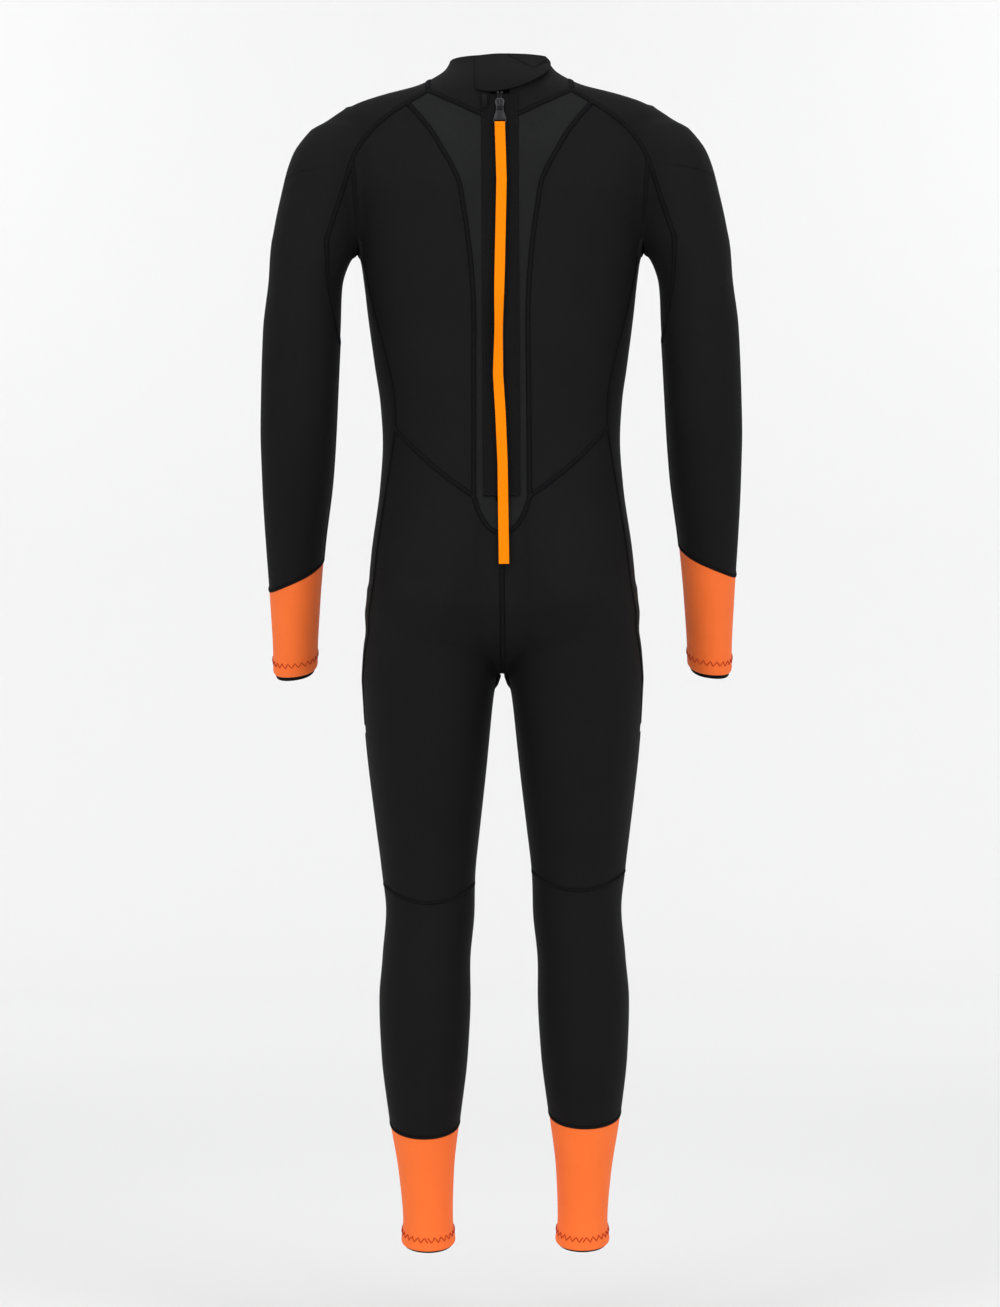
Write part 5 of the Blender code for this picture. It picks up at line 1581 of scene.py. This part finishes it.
class WETSUIT_OT_trunk(WetsuitOperator, bpy.types.Operator):
    """Zip panel, back, side and front panels of the trunk"""
    bl_idname = "wetsuit.trunk"
    bl_label = "Trunk panels"

    def make(self, suit, finish):
        """Makes the pieces that the class names."""
        roll = suit.groove
        sheet_piece("zip_panel_cloth", zip_panel_grid(), finish("centre_neoprene"), "centre_neoprene",
                    "zip_panel", roll=roll)
        both_sides("back_panel", back_panel_grid, finish("black_neoprene"), "black_neoprene", roll=roll)
        both_sides("side_panel", side_panel_grid, finish("side_neoprene"), "black_neoprene", sides="tlr",
                   roll=roll)
        sheet_piece("front_panel_cloth", front_panel_grid(), finish("black_neoprene"), "black_neoprene",
                    "front_panel", roll=roll)


class WETSUIT_OT_legs(WetsuitOperator, bpy.types.Operator):
    """Rear and front leg panels, calves, shins and knee pads"""
    bl_idname = "wetsuit.legs"
    bl_label = "Leg panels"

    def make(self, suit, finish):
        """Makes the pieces that the class names."""
        for name, grid in (("rear_leg", rear_leg_grid), ("front_leg", front_leg_grid), ("calf", calf_grid),
                           ("shin", shin_grid)):
            both_sides(name, grid, finish("black_neoprene"), "black_neoprene", roll=suit.groove)
        both_sides("knee_pad", knee_pad_grid, finish("knee_rubber"), "knee_rubber", roll=suit.groove)


class WETSUIT_OT_sleeves(WetsuitOperator, bpy.types.Operator):
    """Raglan sleeves and the gussets under the arms"""
    bl_idname = "wetsuit.sleeves"
    bl_label = "Sleeves"

    def make(self, suit, finish):
        """Makes the pieces that the class names."""
        def sleeve(side):
            """One side's sleeve, down to its own cuff seam."""
            return sleeve_grid((40, 16, 22, 60), 61, raised(wrist_seam, side, WRIST_RISE))

        both_sides("sleeve", sleeve, finish("black_neoprene"), "black_neoprene", roll=suit.groove)
        both_sides("underarm_gusset", lambda side: gusset_grid(18, 16), finish("black_neoprene"),
                   "black_neoprene", roll=suit.groove)


class WETSUIT_OT_cuffs(WetsuitOperator, bpy.types.Operator):
    """Wrist and ankle cuffs with their linings"""
    bl_idname = "wetsuit.cuffs"
    bl_label = "Cuffs"

    def make(self, suit, finish):
        """Makes the pieces that the class names."""
        for name, grid in (("wrist", wrist_cuff_grid), ("ankle", ankle_cuff_grid)):
            both_sides(name + "_cuff", grid, finish("orange_neoprene"), "orange_neoprene", sides="tb",
                       ring=True, roll=suit.groove)
        for name, grid in (("wrist", wrist_lining_grid), ("ankle", ankle_lining_grid)):
            both_sides(name + "_lining", grid, finish("black_jersey"), "black_jersey", sides="", ring=True,
                       thick=0.0012, rim_bevel=0.0004)


class WETSUIT_OT_collar(WetsuitOperator, bpy.types.Operator):
    """Collar, its overlapping flap with the hook pad, and the loop pad under it"""
    bl_idname = "wetsuit.collar"
    bl_label = "Collar and flap"

    def make(self, suit, finish):
        """Makes the pieces that the class names."""
        sheet_piece("collar_cloth", collar_grid(), finish("black_neoprene"), "black_neoprene", "collar",
                    roll=suit.groove, gap=0.0004)
        grid = flap_grid(26, 60)
        flap = piece("collar_flap_cloth", grid_mesh("collar_flap_cloth", grid), finish("black_neoprene"),
                     "flap", ("collar_flap",))
        thicken(flap, 0.0022, rim_bevel=0.0007)
        declare_sheet(grid)
        for name, proud, look, part, slot in (("hook_pad", 0.0035, "hook_face", "flap", "hook_tape"),
                                              ("loop_pad", 0.0018, "loop_face", "suit", "black_jersey")):
            mesh = grid_mesh(name + "_tape", pad_grid(16, 26, proud))
            pad = piece(name + "_tape", mesh, finish(look), part, (name,))
            thicken(pad, 0.0009, rim_bevel=0.0003)
        stitches = flap_stitching()
        piece("flap_stitching", build_mesh("flap_stitching", *stitches), finish("black_thread"), "flap")


class WETSUIT_OT_seams(WetsuitOperator, bpy.types.Operator):
    """Flatlock bands and threads over every seam, and the hem stitching of the cuffs"""
    bl_idname = "wetsuit.seams"
    bl_label = "Seams"

    def make(self, suit, finish):
        """Makes the pieces that the class names."""
        groups = {
            "trunk": ("princess", "raglan_back", "raglan_front", "yoke", "point", "side_back", "side_front",
                      "hip_front"),
            "underarm": ("armhole", "gusset_back", "gusset_front", "underarm"),
            "leg": ("outseam", "inseam", "knee", "pad_top", "pad_end", "ankle"),
            "wrist": ("wrist",),
        }
        for side, word in ((1, "right"), (-1, "left")):
            lines = seam_lines(side)
            for group, names in groups.items():
                wide = suit.band_width * (1.0 if group in ("trunk", "underarm") else 0.62)
                bands = [flat_band(lines[n], wide) for n in names]
                threads = [stitched(lines[n], wide, suit.stitch_pitch) for n in names]
                for kind, parts, look in (("band", bands, "seam_band"),
                                          ("stitching", threads, "black_thread")):
                    points, faces = gather(parts)
                    if side < 0:
                        points = points * MIRROR
                        faces = faces[:, ::-1]
                    name = group + "_" + kind + "_" + word
                    piece(name, build_mesh(name, points, faces), finish(look), "suit")
        behind = lift(curve(COLLAR_BACK, 60), -1)
        over_shoulder = sleeve_grid((2, 1, 1, 1), 41)[0][1:-1]
        neck = np.vstack([behind, over_shoulder, lift(curve(COLLAR_FRONT, 60), 1)])
        centre = [centre_line(-1, BACK_FORK), centre_line(1, FRONT_FORK), neck, neck * MIRROR]
        for kind, maker, look in (("band", lambda c: flat_band(c, suit.band_width), "seam_band"),
                                  ("stitching", lambda c: stitched(c, suit.band_width, suit.stitch_pitch),
                                   "black_thread")):
            name = "centre_" + kind
            piece(name, build_mesh(name, *gather([maker(c) for c in centre])), finish(look), "suit")
        hems = hem_stitching()
        piece("hem_stitching", build_mesh("hem_stitching", *hems), finish("orange_thread"), "suit")


class WETSUIT_OT_zip(WetsuitOperator, bpy.types.Operator):
    """Zip tapes, coils, stops, batten, slider and pull tab"""
    bl_idname = "wetsuit.zip"
    bl_label = "Zip"

    def make(self, suit, finish):
        """Makes the pieces that the class names."""
        for side, word in ((1, "right"), (-1, "left")):
            tape = piece("tape_" + word, grid_mesh("tape_" + word, tape_grid(side)), finish("zip_tape"),
                         "suit", ("zip_tape_" + word,))
            thicken(tape, 0.0008, rim_bevel=0.0002)
            piece("coil_" + word, build_mesh("coil_" + word, *coil(side)), finish("zip_coil"), "suit",
                  ("zip_chain_" + word,))
            piece("stop_" + word, build_mesh("stop_" + word, *stop_clip(side)), finish("slider_metal"),
                  "suit", ("top_stop_" + word,))
        piece("zip_stitching", build_mesh("zip_stitching", *zip_stitching()), finish("black_thread"), "suit")
        frame["nodes"]["zip_batten"].data.materials[0] = finish("black_jersey")
        frame["nodes"]["bottom_stop"].data.materials[0] = finish("slider_metal")
        piece("slider", build_mesh("slider", *slider_body()), finish("slider_metal"), "slider",
              ("zip_slider",))
        piece("pull_ring", build_mesh("pull_ring", *pull_ring()), finish("slider_metal"), "tab",
              ("pull_tab",))


class WETSUIT_OT_strap(WetsuitOperator, bpy.types.Operator):
    """Pull strap looped through the ring, and the keeper loop beside the zip"""
    bl_idname = "wetsuit.strap"
    bl_label = "Pull strap"

    def make(self, suit, finish):
        """Makes the pieces that the class names."""
        path, mesh = strap()
        made = piece("strap_webbing", mesh, finish("webbing"), "strap", ("pull_strap",))
        keeper = piece("keeper_loop", grid_mesh("keeper_loop", keeper_grid()), finish("black_neoprene"),
                       "suit", ("strap_keeper",))
        thicken(keeper, 0.0009, rim_bevel=0.0003)


class WETSUIT_OT_stage(bpy.types.Operator):
    """Pale floor that curves up into a wall, soft boxes and the camera"""
    bl_idname = "wetsuit.stage"
    bl_label = "Stage"

    def execute(self, context):
        """Builds the backdrop, the lights, the sky and the camera."""
        stage = context.scene.wetsuit_stage
        low = CAD_BOX[0][2] - stage.drop
        backdrop(low)
        soft_box("key_left", (-2.6, -3.2, 0.9), SUIT_MIDDLE, 2.2, stage.key)
        soft_box("key_right", (2.6, -3.2, 0.9), SUIT_MIDDLE, 2.2, stage.key)
        soft_box("overhead", (0, -0.8, 2.6), SUIT_MIDDLE, 2.6, stage.key * 1.15)
        soft_box("wall_light_left", (-3.0, 4.2, 1.6), WALL_MIDDLE, 2.0, stage.key * 0.72)
        soft_box("wall_light_right", (3.0, 4.2, 1.6), WALL_MIDDLE, 2.0, stage.key * 0.72)
        world = bpy.data.worlds.new("studio")
        world.use_nodes = True
        sky = world.node_tree.nodes["Background"]
        sky.inputs["Color"].default_value = (1, 1, 1, 1)
        sky.inputs["Strength"].default_value = SKY_STRENGTH
        context.scene.world = world
        context.scene.view_settings.view_transform = "Standard"
        data = bpy.data.cameras.new("camera")
        data.lens = stage.lens
        data.sensor_width = SENSOR_WIDTH
        camera = bpy.data.objects.new("camera", data)
        camera.location = (CAMERA_X, -stage.distance, CAMERA_Z)
        camera.rotation_euler = (math.pi / 2, stage.roll, 0)
        context.scene.collection.objects.link(camera)
        context.scene.camera = camera
        return {"FINISHED"}


class WETSUIT_PT_panel(bpy.types.Panel):
    """Lists the suit's operators"""
    bl_label = "Wetsuit"
    bl_idname = "WETSUIT_PT_panel"
    bl_space_type = "VIEW_3D"
    bl_region_type = "UI"
    bl_category = "Wetsuit"

    def draw(self, context):
        """A button for each operator, then every setting."""
        for step in STEPS:
            self.layout.operator(step.bl_idname)
        for group in (context.scene.wetsuit, context.scene.wetsuit_stage):
            for name in group.bl_rna.properties.keys():
                if name not in ("rna_type", "name"):
                    self.layout.prop(group, name)


STEPS = (WETSUIT_OT_strap, WETSUIT_OT_zip, WETSUIT_OT_trunk, WETSUIT_OT_legs, WETSUIT_OT_sleeves,
         WETSUIT_OT_cuffs, WETSUIT_OT_collar, WETSUIT_OT_seams, WETSUIT_OT_stage)
CLASSES = (WetsuitSettings, StageSettings) + STEPS + (WETSUIT_PT_panel,)


def register():
    """Registers the classes and the two groups of settings."""
    for item in CLASSES:
        bpy.utils.register_class(item)
    bpy.types.Scene.wetsuit = bpy.props.PointerProperty(type=WetsuitSettings)
    bpy.types.Scene.wetsuit_stage = bpy.props.PointerProperty(type=StageSettings)


def unregister():
    """Takes the settings and the classes out again."""
    del bpy.types.Scene.wetsuit_stage
    del bpy.types.Scene.wetsuit
    for item in reversed(CLASSES):
        bpy.utils.unregister_class(item)


def main():
    """Makes the suit and its stage, one operator after another."""
    register()
    bpy.ops.wetsuit.strap()
    bpy.ops.wetsuit.zip()
    bpy.ops.wetsuit.trunk()
    bpy.ops.wetsuit.legs()
    bpy.ops.wetsuit.sleeves()
    bpy.ops.wetsuit.cuffs()
    bpy.ops.wetsuit.collar()
    bpy.ops.wetsuit.seams()
    bpy.ops.wetsuit.stage()
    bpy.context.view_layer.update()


if __name__ == "__main__":
    main()
